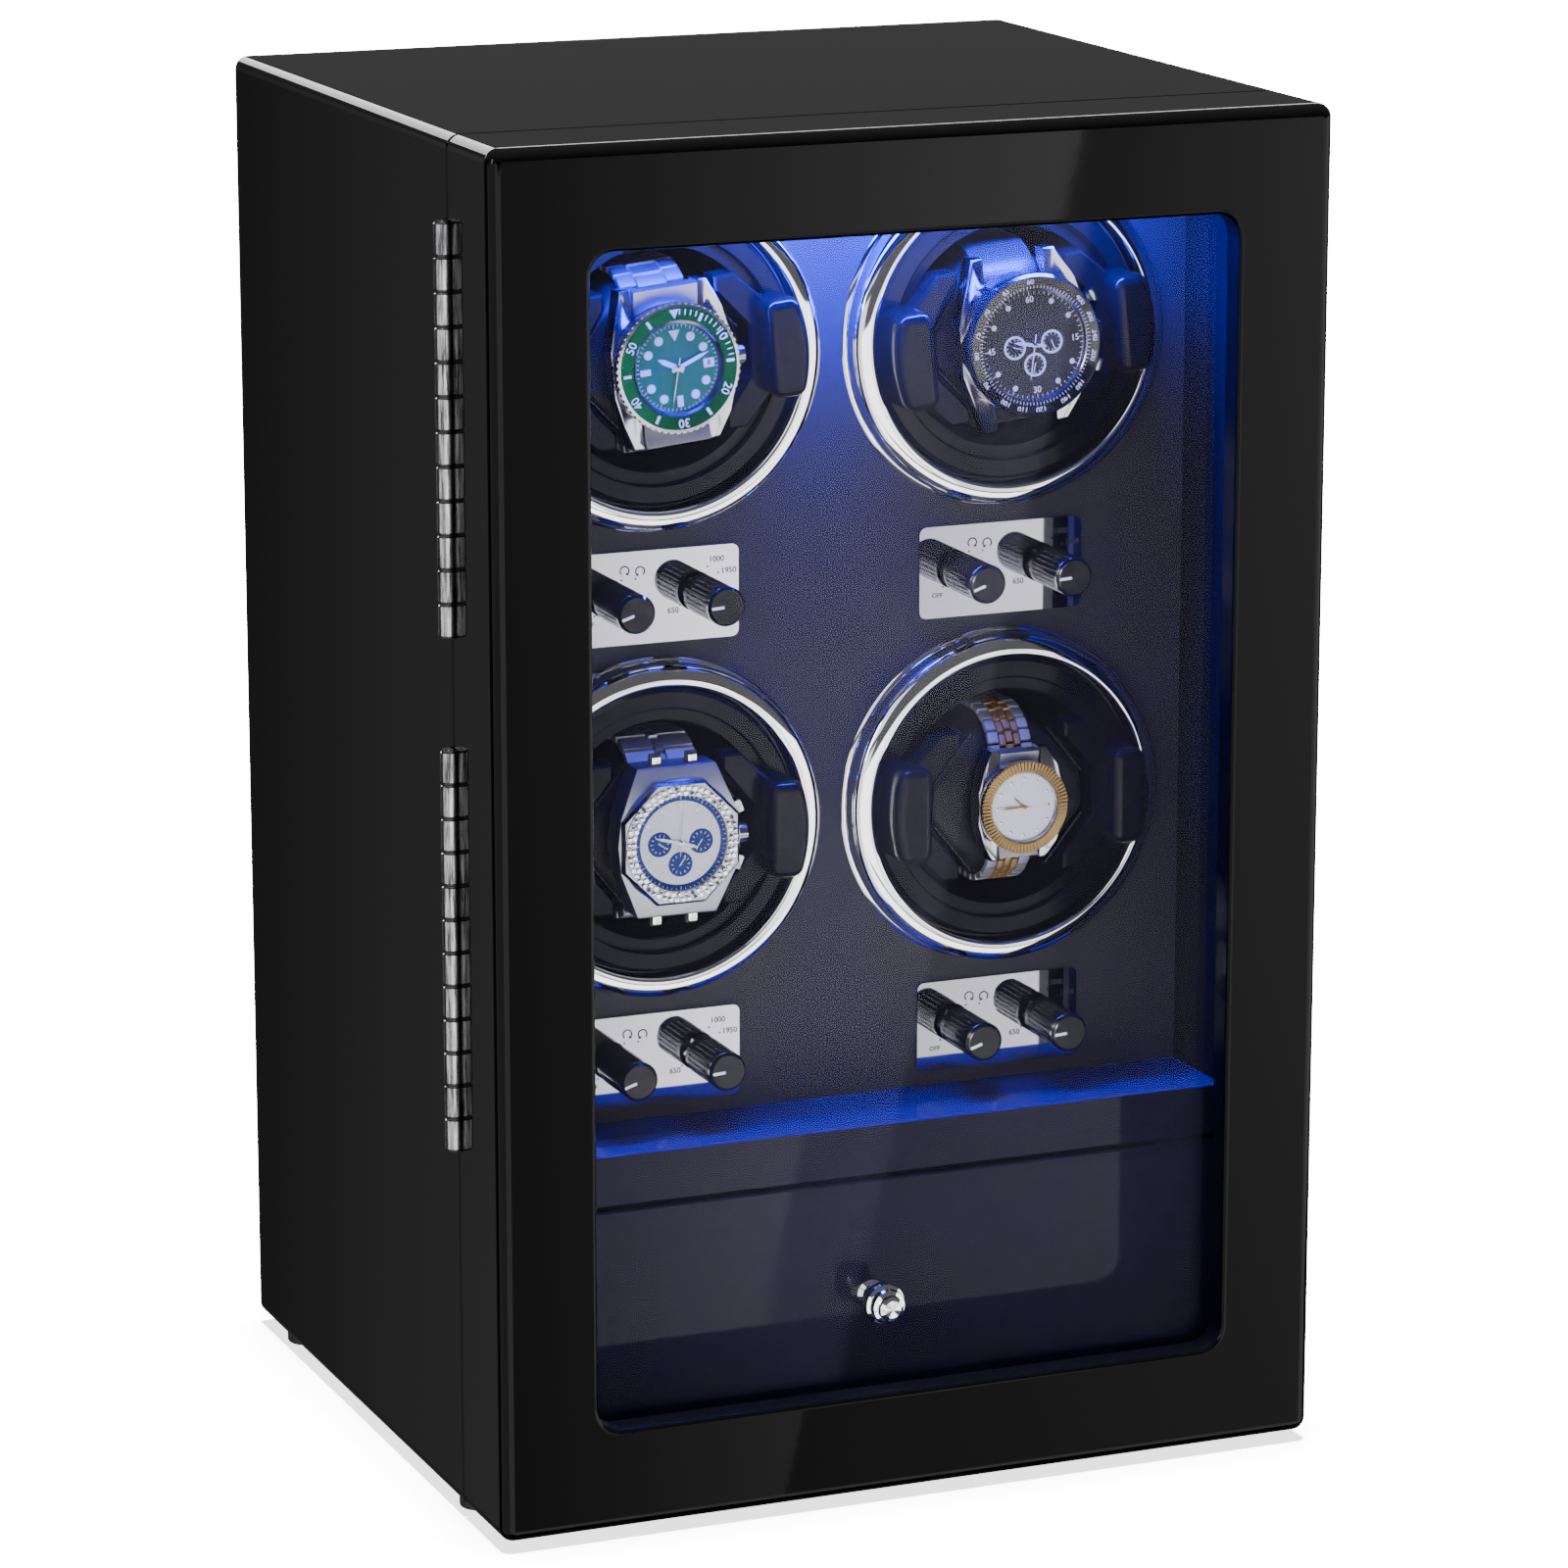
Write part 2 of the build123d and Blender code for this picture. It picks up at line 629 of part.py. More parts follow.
def cushion(x, z):
    """A watch cushion: a rounded roll across the cup, its four corners slanted to fit the grips."""
    width, depth, height = CUSHION
    roll = block(
        (x - width / 2, x + width / 2),
        (CUSHION_FRONT, CUSHION_FRONT + depth),
        (z - height / 2, z + height / 2),
    )
    roll = fillet(roll.edges().filter_by(Axis.X), CUSHION_R)
    half_end, half_top = CUSHION_END_H / 2, CUSHION_TOP_W / 2
    corner = [(width / 2, half_end), (half_top, height / 2)]
    outline = corner + [(-px, pz) for px, pz in reversed(corner)]
    outline += [(-px, -pz) for px, pz in corner] + [(px, -pz) for px, pz in reversed(corner)]
    roll = roll & extrude(front_outline(x, z, CUSHION_FRONT + depth, outline), depth)
    ends = roll.faces().sort_by(Axis.X)
    return fillet(ends[0].edges() + ends[-1].edges(), CUSHION_EDGE_R)


def rounded_roll(x, z, width, grow):
    """The cushion's square-ended roll, this much bigger all round."""
    _, depth, height = CUSHION
    solid = Pos(x, CUSHION_FRONT + depth / 2, z) * Box(width, depth + 2 * grow, height + 2 * grow)
    return fillet(solid.edges().filter_by(Axis.X), CUSHION_R + grow)


def band_loop(x, z, width):
    """A band closed round the cushion, standing off it by a hair."""
    return rounded_roll(x, z, width, BAND_CLEAR + BAND_T) - rounded_roll(x, z, width + 2, BAND_CLEAR)


CROWN_R = 2.6
CROWN_LEN = 3.6
CASE_BACK = 2.5  # depth of the sloping case back
LUG_T = 5.0


def watch(x, z, radius, front, band_w):
    """A watch head with bezel, lugs and crown, and its closed band."""
    back = CUSHION_FRONT - BAND_CLEAR - BAND_T
    glass_r = 0.78 * radius
    head = turned(x, z, [
        (0, front + 0.8), (glass_r, front + 0.8), (glass_r, front), (radius - 1.4, front),
        (radius, front + 1.6), (radius, back - CASE_BACK), (radius - 3, back), (0, back),
    ])
    lug_w = 0.22 * radius
    lug_end = 1.2 * radius
    for side in (-1, 1):
        mid = x + side * (band_w / 2 + lug_w / 2)
        head += block((mid - lug_w / 2, mid + lug_w / 2), (back - LUG_T, back), (z - lug_end, z + lug_end))
    crown = Pos(x + radius + 1.4, back - 4.5, z) * Rot(0, 90, 0) * Cylinder(CROWN_R, CROWN_LEN)
    return [head + crown, band_loop(x, z, band_w)]


# ---- controls ----
PLATE_AT = [(x, z - PLATE_DROP) for x, z in ROTOR_AT]
KNOB_AT = [(x + side * KNOB_X, z) for x, z in PLATE_AT for side in (-1, 1)]
PLATE_Y = LEATHER_Y - PLATE_T


def control_plate(x, z):
    """A rounded steel plate with two holes for the switches' bushes."""
    shape = plate(x, z, PLATE_W, PLATE_H, PLATE_R, PLATE_Y, LEATHER_Y)
    for side in (-1, 1):
        shape -= rod(x + side * KNOB_X, z, BUSH_R, PLATE_Y - 1, LEATHER_Y + 1)
    return shape


def rotary_switch(x, z):
    """A selector switch behind the panel, its bush coming through to the front."""
    width, depth, height = SWITCH_BODY
    body = block(
        (x - width / 2, x + width / 2), (PANEL_BACK, PANEL_BACK + depth), (z - height / 2, z + height / 2)
    )
    body += rod(x, z, BUSH_R, PLATE_Y - NUT_T, PANEL_BACK)
    return body - rod(x, z, SPINDLE_R + SHAFT_CLEAR, PLATE_Y - NUT_T - 1, PANEL_BACK + depth - 2)


def switch_nut(x, z):
    """A hexagon nut on a switch's bush, in front of the plate."""
    face = Plane(origin=(x, PLATE_Y - NUT_T, z), x_dir=(1, 0, 0), z_dir=(0, 1, 0))
    nut = extrude(face * RegularPolygon(NUT_FLATS / 2, 6, major_radius=False), NUT_T)
    return nut - rod(x, z, BUSH_R, PLATE_Y - NUT_T - 1, PLATE_Y + 1)


FLUTES = 24
FLUTE_R = 0.45
KNOB_BACK = PLATE_Y - NUT_T - 0.4


def control_knob(x, z):
    """A fluted knob pressed on its spindle."""
    bore_y = KNOB_FRONT + 5
    body = turned(x, z, [
        (0, KNOB_FRONT), (KNOB_R - 0.8, KNOB_FRONT), (KNOB_R, KNOB_FRONT + 0.8), (KNOB_R, KNOB_BACK),
        (SPINDLE_R, KNOB_BACK), (SPINDLE_R, bore_y), (0, bore_y),
    ])
    for n in range(FLUTES):
        turn = 2 * math.pi * n / FLUTES
        at = (x + (KNOB_R + 0.15) * math.cos(turn), z + (KNOB_R + 0.15) * math.sin(turn))
        body -= rod(*at, FLUTE_R, KNOB_FRONT + 3, KNOB_BACK - 2)
    spindle = rod(x, z, SPINDLE_R, bore_y, PANEL_BACK + SWITCH_BODY[1] - 2.5)
    return [body, spindle]


# ---- drawer ----
def drawer_front():
    """The drawer's front board."""
    half = WALL_X - DRAWER_SIDE_GAP
    board = block((-half, half), (SHELF_Y, SHELF_Y + DRAWER_FRONT_T), (DRAWER_LOW, DRAWER_TOP))
    board = chamfer(board.faces().sort_by(Axis.Y)[0].edges(), 0.6)
    return board - drawer_screw()


def tray_box(inset, low, top):
    """The tray's outline from above, drawn in by inset, between two heights."""
    half = WALL_X - DRAWER_SIDE_GAP - TRAY_SIDE_GAP - inset
    y0 = SHELF_Y + DRAWER_FRONT_T + inset
    return block((-half, half), (y0, TRAY_BACK - inset), (low, top))


def drawer_tray():
    """The open tray behind the drawer's front."""
    tray = tray_box(0, TRAY_LOW, TRAY_TOP)
    tray -= tray_box(TRAY_WALL, TRAY_LOW + TRAY_WALL, TRAY_TOP + 1)
    return tray - drawer_screw()


def drawer_lining():
    """Felt glued over the tray's floor and inner walls."""
    low = TRAY_LOW + TRAY_WALL
    felt = tray_box(TRAY_WALL, low, TRAY_TOP - 1)
    felt -= tray_box(TRAY_WALL + FELT_T, low + FELT_T, TRAY_TOP + 1)
    return felt - drawer_screw()


def drawer_screw():
    """A pan-headed screw through the tray's front wall into the knob."""
    head_y = SHELF_Y + DRAWER_FRONT_T + TRAY_WALL
    shape = rod(0, DRAWER_KNOB_Z, KNOB_SCREW_R, SHELF_Y - KNOB_SCREW_IN, head_y)
    return shape + rod(0, DRAWER_KNOB_Z, 3.6, head_y, head_y + 2.2)


def drawer_knob():
    """A turned knob: small foot, slim neck and a head that steps in towards a domed button."""
    tip = SHELF_Y - DRAWER_KNOB_LEN
    return turned(0, DRAWER_KNOB_Z, [
        (0, tip), (2.6, tip + 0.2), (3.7, tip + 0.8), (3.9, tip + 1.8), (3.9, tip + 2.6),
        (4.9, tip + 2.9), (5.3, tip + 3.6), (5.3, tip + 4.8), (4.9, tip + 5.2), (6.0, tip + 5.7),
        (6.4, tip + 6.5), (6.4, tip + 8.2), (5.8, tip + 9.0), (3.6, tip + 10.0), (2.9, tip + 12.5),
        (3.1, tip + 15.5), (4.4, tip + 16.4), (4.6, tip + 17.2), (4.6, SHELF_Y), (KNOB_SCREW_R, SHELF_Y),
        (KNOB_SCREW_R, SHELF_Y - KNOB_SCREW_IN), (0, SHELF_Y - KNOB_SCREW_IN),
    ])


# ---- door ----
WINDOW_W = CASE_W - 2 * STILE
WINDOW_H = CASE_H - 2 * STILE - 1
MID_Z = CASE_H / 2


def door_frame():
    """A box-section frame, open behind, with a rounded lip round its window."""
    body = outer_case(0, DOOR_D)
    body = fillet(body.faces().sort_by(Axis.Y)[0].edges(), EDGE_R - 0.5)
    body = chamfer(body.faces().sort_by(Axis.Y)[-1].edges(), SEAM_CHAMFER)
    body -= block((-WALL_X, WALL_X), (GLASS_Y, DOOR_D + 1), (FLOOR_Z, CEIL_Z))
    body -= plate(0, MID_Z, WINDOW_W, WINDOW_H, WINDOW_R, -1, GLASS_Y + 1)
    lip = [
        e
        for e in body.edges()
        if abs(e.center().Y) < 0.01 and abs(e.center().X) < WINDOW_W / 2 + 1
        and abs(e.center().Z - MID_Z) < WINDOW_H / 2 + 1
    ]
    body = fillet(lip, LIP_R)
    for tool in hinge_cuts(DOOR_D, -1) + strike_plates():
        body -= tool
    return body


def door_glass():
    """The pane, lapping behind the door's frame."""
    wide = 2 * GLASS_LAP
    return plate(0, MID_Z, WINDOW_W + wide, WINDOW_H + wide, 2.0, GLASS_Y, GLASS_Y + GLASS_T)


def glass_retainer():
    """A rebated frame that holds the glass against the back of the door's front."""
    back = GLASS_Y + GLASS_T + RETAINER_T
    frame = block((-WALL_X + 0.5, WALL_X - 0.5), (GLASS_Y, back), (FLOOR_Z + 0.5, CEIL_Z - 0.5))
    frame -= door_glass()
    wide = 2 * RETAINER_OPEN
    return frame - plate(0, MID_Z, WINDOW_W + wide, WINDOW_H + wide, WINDOW_R, GLASS_Y - 1, back + 1)


# ---- write every sub-part ----
save("cabinet_shell", [cabinet_shell()])
save("back_panel", [back_panel()])
save("back_screws", back_screws())
save("dc_jack", [dc_jack()])
save("switch_housing", [switch_housing()])
save("switch_rocker", [switch_rocker()])
save("feet", feet())
save("wall_lining", wall_lining())
save("winder_panel", [winder_panel()])
save("panel_leather", [panel_leather()])
save("divider_shelf", [divider_shelf()])
save("led_strip", [led_strip()])
save("led_cover", [led_cover()])
save("control_board", [control_board()])
save("hinge_pins", hinge_pins())
save("hinge_leaf_cabinet", [hinge_leaf(mid, CAB_FRONT, 1, PIN_R, 0) for mid in HINGE_MID_Z])
save("hinge_leaf_door", [hinge_leaf(mid, DOOR_D, -1, PIN_R + PIN_CLEAR, 1) for mid in HINGE_MID_Z])
save("hinge_screws_cabinet", [s for mid in HINGE_MID_Z for s in leaf_screws(mid, CAB_FRONT, 1)])
save("hinge_screws_door", [s for mid in HINGE_MID_Z for s in leaf_screws(mid, DOOR_D, -1)])
save("catch_magnets", catch_magnets())
save("strike_plates", strike_plates())
save("door_frame", [door_frame()])
save("door_glass", [door_glass()])
save("glass_retainer", [glass_retainer()])
save("drawer_front", [drawer_front()])
save("drawer_tray", [drawer_tray()])
save("drawer_lining", [drawer_lining()])
save("drawer_knob", [drawer_knob()])
save("drawer_knob_screw", [drawer_screw()])
save("bezel_rings", [bezel_ring(x, z) for x, z in ROTOR_AT])
save("rotor_housings", [rotor_housing(x, z) for x, z in ROTOR_AT])
save("rotor_bushes", [rotor_bush(x, z) for x, z in ROTOR_AT])
save("motors", [motor(x, z) for x, z in ROTOR_AT])
save("control_plates", [control_plate(x, z) for x, z in PLATE_AT])
save("rotary_switches", [rotary_switch(x, z) for x, z in KNOB_AT])
save("switch_nuts", [switch_nut(x, z) for x, z in KNOB_AT])
for k, (x, z) in enumerate(ROTOR_AT):
    save(f"rotor_cup_{k + 1}", [spin(rotor_cup(x, z), k)])
    save(f"rotor_shaft_{k + 1}", [rotor_shaft(x, z)])
    save(f"cushion_{k + 1}", [spin(cushion(x, z), k)])
    save(f"watch_{k + 1}", [spin(solid, k) for solid in watch(x, z, *WATCHES[k])])
for k, (x, z) in enumerate(KNOB_AT):
    save(f"control_knob_{k + 1}", control_knob(x, z))
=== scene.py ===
"""The looks of the watch winder box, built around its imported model."""
import json
import math
import random

import bmesh
import bpy
from mathutils import Matrix, Vector


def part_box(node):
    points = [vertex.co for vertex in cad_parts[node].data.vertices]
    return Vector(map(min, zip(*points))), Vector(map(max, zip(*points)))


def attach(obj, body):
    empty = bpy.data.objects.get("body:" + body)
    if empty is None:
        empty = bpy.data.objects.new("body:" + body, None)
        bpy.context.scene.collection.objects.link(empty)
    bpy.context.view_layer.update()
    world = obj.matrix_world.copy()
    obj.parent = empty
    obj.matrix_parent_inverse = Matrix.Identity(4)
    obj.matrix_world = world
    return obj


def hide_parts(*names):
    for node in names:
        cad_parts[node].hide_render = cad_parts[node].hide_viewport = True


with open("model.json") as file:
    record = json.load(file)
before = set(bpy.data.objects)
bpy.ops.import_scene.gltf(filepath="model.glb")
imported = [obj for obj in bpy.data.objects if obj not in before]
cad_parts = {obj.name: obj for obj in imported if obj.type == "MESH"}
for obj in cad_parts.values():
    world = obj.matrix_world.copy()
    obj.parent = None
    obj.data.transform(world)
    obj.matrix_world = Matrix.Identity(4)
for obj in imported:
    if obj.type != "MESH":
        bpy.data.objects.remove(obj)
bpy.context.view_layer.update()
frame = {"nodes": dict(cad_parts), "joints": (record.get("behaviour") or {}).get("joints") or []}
nodes = frame["nodes"]
MM = 0.001


# ---- places read from the frame ----
FRONT_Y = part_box("door_frame")[0].y
CASE_LOW, CASE_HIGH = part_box("cabinet_shell")
LEATHER_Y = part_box("panel_leather")[0].y
PLATE_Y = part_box("control_plates")[0].y
ROTOR_TURN = (5.5, 6.0, 0.0, 0.0)  # degrees anticlockwise, as the CAD model has them


def joint_place(name):
    """Where a joint's axis is, in metres."""
    return next(joint["pos_m"] for joint in frame["joints"] if joint["name"] == name)


def new_object(name, data):
    """An object of the scene that shows this mesh, light or camera."""
    obj = bpy.data.objects.new(name, data)
    bpy.context.scene.collection.objects.link(obj)
    return obj


def shift(x, y, z):
    return Matrix.Translation((x, y, z))


def spin(angle, axis):
    return Matrix.Rotation(angle, 4, axis)


def rotor_matrix(k):
    """Local axes of rotor k: x right, z up, y back, origin on its axis at the leather's face."""
    at = joint_place(f"rotor_{k}_turn")
    return shift(at[0], LEATHER_Y, at[2]) @ spin(math.radians(-ROTOR_TURN[k - 1]), "Y")


# ---- camera ----
CAMERA_AT = (-0.6927, -1.6943, 0.6324)
CAMERA_AZIMUTH = -22.44
CAMERA_ELEVATION = 13.60
CAMERA_LENS = 143.0


def add_camera():
    """The camera of the main view, from the left and a little above."""
    data = bpy.data.cameras.new("camera")
    data.lens = CAMERA_LENS
    data.clip_end = 60
    camera = new_object("camera", data)
    camera.location = CAMERA_AT
    camera.rotation_euler = (math.radians(90 - CAMERA_ELEVATION), 0, math.radians(CAMERA_AZIMUTH))
    bpy.context.scene.camera = camera


# ---- materials ----
M = {}  # every material, by its name
PATTERN_SPAN = (0.3, 0.7)  # where most of a noise pattern's values lie


def add_node(tree, kind, settings=None, **inputs):
    """A shader node: settings are its attributes, further keywords its input sockets."""
    made = tree.nodes.new(kind)
    for key, value in (settings or {}).items():
        setattr(made, key, value)
    for key, value in inputs.items():
        made.inputs[key.replace("_", " ")].default_value = value
    return made


class Look:
    """A material being put together; its patterns follow the object's own coordinates."""

    def __init__(self, name, color, roughness=0.5, metallic=0.0, squeeze=(1, 1, 1), **sockets):
        """Further keywords set the shader's own sockets; squeeze scales the coordinates."""
        mat = bpy.data.materials.new(name)
        mat.use_nodes = True
        M[name] = mat
        self.tree = mat.node_tree
        self.shader = self.tree.nodes["Principled BSDF"]
        sockets.update(Base_Color=(*color, 1), Roughness=roughness, Metallic=metallic)
        for key, value in sockets.items():
            self.shader.inputs[key.replace("_", " ")].default_value = value
        mapping = self.node("ShaderNodeMapping", Scale=squeeze)
        self.link(self.node("ShaderNodeTexCoord").outputs["Object"], mapping.inputs["Vector"])
        self.vector = mapping.outputs["Vector"]

    def node(self, kind, settings=None, **inputs):
        return add_node(self.tree, kind, settings, **inputs)

    def link(self, value, socket):
        self.tree.links.new(value, socket)

    def noise(self, scale, detail=3.0, rough=0.5):
        """A noise pattern with this many features in a metre."""
        made = self.node("ShaderNodeTexNoise", Scale=scale, Detail=detail, Roughness=rough)
        self.link(self.vector, made.inputs["Vector"])
        return made.outputs["Fac"]

    def ranged(self, pattern, low, high, span=PATTERN_SPAN):
        """Maps a pattern's span of values to a range."""
        made = self.node(
            "ShaderNodeMapRange", From_Min=span[0], From_Max=span[1], To_Min=low, To_Max=high
        )
        self.link(pattern, made.inputs["Value"])
        return made.outputs["Result"]

    def drive(self, name, pattern, low, high, span=PATTERN_SPAN):
        """Lets a pattern move one of the shader's sockets through a range."""
        self.link(self.ranged(pattern, low, high, span), self.shader.inputs[name])

    def shade(self, pattern, first, second, span=PATTERN_SPAN):
        """Mixes two colours by a pattern."""
        mix = self.node("ShaderNodeMix", {"data_type": "RGBA"})
        mix.inputs[6].default_value = (*first, 1)
        mix.inputs[7].default_value = (*second, 1)
        self.link(self.ranged(pattern, 0, 1, span), mix.inputs[0])
        self.link(mix.outputs[2], self.shader.inputs["Base Color"])

    def bump(self, height, depth, strength=1.0):
        """Relief of a real depth in metres, on top of any made before."""
        made = self.node("ShaderNodeBump", Strength=strength, Distance=depth)
        self.link(height, made.inputs["Height"])
        socket = self.shader.inputs["Normal"]
        if socket.is_linked:
            self.link(socket.links[0].from_socket, made.inputs["Normal"])
        self.link(made.outputs["Normal"], socket)


def darker(color, by):
    """The colour with each part multiplied by a factor."""
    return tuple(c * by for c in color)


def lacquer(name, roughness=(0.015, 0.04), specular=0.11, color=(0.0010, 0.0010, 0.0011)):
    """Polished black lacquer: almost flat, with faint polish marks."""
    look = Look(name, color, Specular_IOR_Level=specular)
    look.drive("Roughness", look.noise(9, 4), *roughness)
    look.bump(look.noise(350, 2), 0.0000012)


def grained_leather(name, color, grain=1300, depth=0.00004, roughness=(0.42, 0.6), specular=0.2):
    """Embossed synthetic leather: small rounded cells with fine creases between them."""
    look = Look(name, color, Specular_IOR_Level=specular)
    voronoi = look.node("ShaderNodeTexVoronoi", {"feature": "SMOOTH_F1"}, Scale=grain)
    look.link(look.vector, voronoi.inputs["Vector"])
    cells = voronoi.outputs["Distance"]
    look.shade(look.noise(35, 4), color, darker(color, 0.85))
    look.drive("Roughness", cells, *roughness, (0.0, 0.6))
    look.bump(cells, depth)
    look.bump(look.noise(2600, 2), depth * 0.3)


def polished_metal(name, color, roughness=(0.02, 0.07), mark_scale=60):
    """Metal polished bright, with the faint smears and waves that handling leaves."""
    look = Look(name, color, metallic=1.0)
    look.drive("Roughness", look.noise(mark_scale, 5), *roughness)
    look.bump(look.noise(180, 2), 0.000002)


def brushed_metal(name, color, along=(1, 1, 30), roughness=(0.22, 0.42)):
    """Metal with fine lines drawn across the direction in which the pattern is squeezed."""
    look = Look(name, color, metallic=1.0, squeeze=along)
    lines = look.noise(260, 3, 0.6)
    look.drive("Roughness", lines, *roughness)
    look.bump(lines, 0.00001, 0.5)


def drawn_metal(name, color, shade):
    """Worn plated metal with bright and dark streaks running up and down."""
    look = Look(name, color, metallic=1.0, squeeze=(1, 0.06, 1))
    streaks = look.noise(1100, 4, 0.7)
    look.shade(streaks, color, shade, (0.42, 0.62))
    look.drive("Roughness", streaks, 0.10, 0.30)
    look.bump(streaks, 0.00003, 0.6)


def plastic(name, color, roughness=(0.3, 0.45), grain=1500, depth=0.00002, specular=0.5):
    look = Look(name, color, Specular_IOR_Level=specular)
    look.drive("Roughness", look.noise(40, 4), *roughness)
    look.bump(look.noise(grain, 2), depth, 0.6)


def turned_face(name, color):
    """Dark anodised metal with the fine rings a lathe leaves, about the object's own axis."""
    look = Look(name, color, metallic=0.6)
    wave = look.node(
        "ShaderNodeTexWave", {"wave_type": "RINGS", "rings_direction": "Y"}, Scale=5200,
        Distortion=0.4, Detail=1.0,
    )
    look.link(look.vector, wave.inputs["Vector"])
    rings = wave.outputs["Fac"]
    look.drive("Roughness", rings, 0.22, 0.38, (0, 1))
    look.bump(rings, 0.00001, 0.7)


def felt(name, color):
    look = Look(name, color, 0.95, Sheen_Weight=0.5, Sheen_Roughness=0.5)
    look.bump(look.noise(2200, 5, 0.7), 0.0004, 0.7)
    look.shade(look.noise(300, 3), color, darker(color, 0.6))


def clear_glass(name, ior, tint=(1, 1, 1), askew=0.0):
    """Clear glass; askew turns its reflections about the upright by that many radians."""
    look = Look(name, (1, 1, 1), 0.0, Transmission_Weight=1.0, IOR=ior, Specular_Tint=(*tint, 1))
    if askew:
        normal = look.node("ShaderNodeNewGeometry").outputs["Normal"]
        across = look.node("ShaderNodeVectorMath", {"operation": "CROSS_PRODUCT"})
        across.inputs[1].default_value = (0, 0, askew)
        look.link(normal, across.inputs[0])
        turned = look.node("ShaderNodeVectorMath", {"operation": "ADD"})
        look.link(normal, turned.inputs[0])
        look.link(across.outputs["Vector"], turned.inputs[1])
        look.link(turned.outputs["Vector"], look.shader.inputs["Normal"])
    look.drive("Roughness", look.noise(5, 4), 0.0, 0.008)


def glowing(name, color, strength):
    """A lit surface, brighter at each lamp along its length."""
    look = Look(name, (0.6, 0.7, 0.9), 0.4, Emission_Color=(*color, 1))
    lamps = look.node(
        "ShaderNodeTexWave", {"wave_type": "BANDS", "bands_direction": "X"}, Scale=17.5
    )
    look.link(look.vector, lamps.inputs["Vector"])
    look.drive("Emission Strength", lamps.outputs["Fac"], strength * 0.6, strength, (0, 1))


def printed(name, color, roughness=0.5):
    look = Look(name, color, roughness)
    look.bump(look.noise(3000, 2), 0.000004)


def dial(name, color, shade):
    """A sunburst dial: brightness changes in rays round its centre, under a clear coat."""
    look = Look(
        name, color, 0.32, 0.3, Specular_IOR_Level=0.15, Coat_Weight=0.08, Coat_Roughness=0.04
    )
    rays = look.node("ShaderNodeTexGradient", {"gradient_type": "RADIAL"})
    flip = look.node("ShaderNodeMapping", Rotation=(math.pi / 2, 0, 0))
    look.link(look.vector, flip.inputs["Vector"])
    look.link(flip.outputs["Vector"], rays.inputs["Vector"])
    spread = look.node("ShaderNodeTexNoise", {"noise_dimensions": "1D"}, Scale=160, Detail=2)
    look.link(rays.outputs["Fac"], spread.inputs["W"])
    look.shade(spread.outputs["Fac"], color, shade)


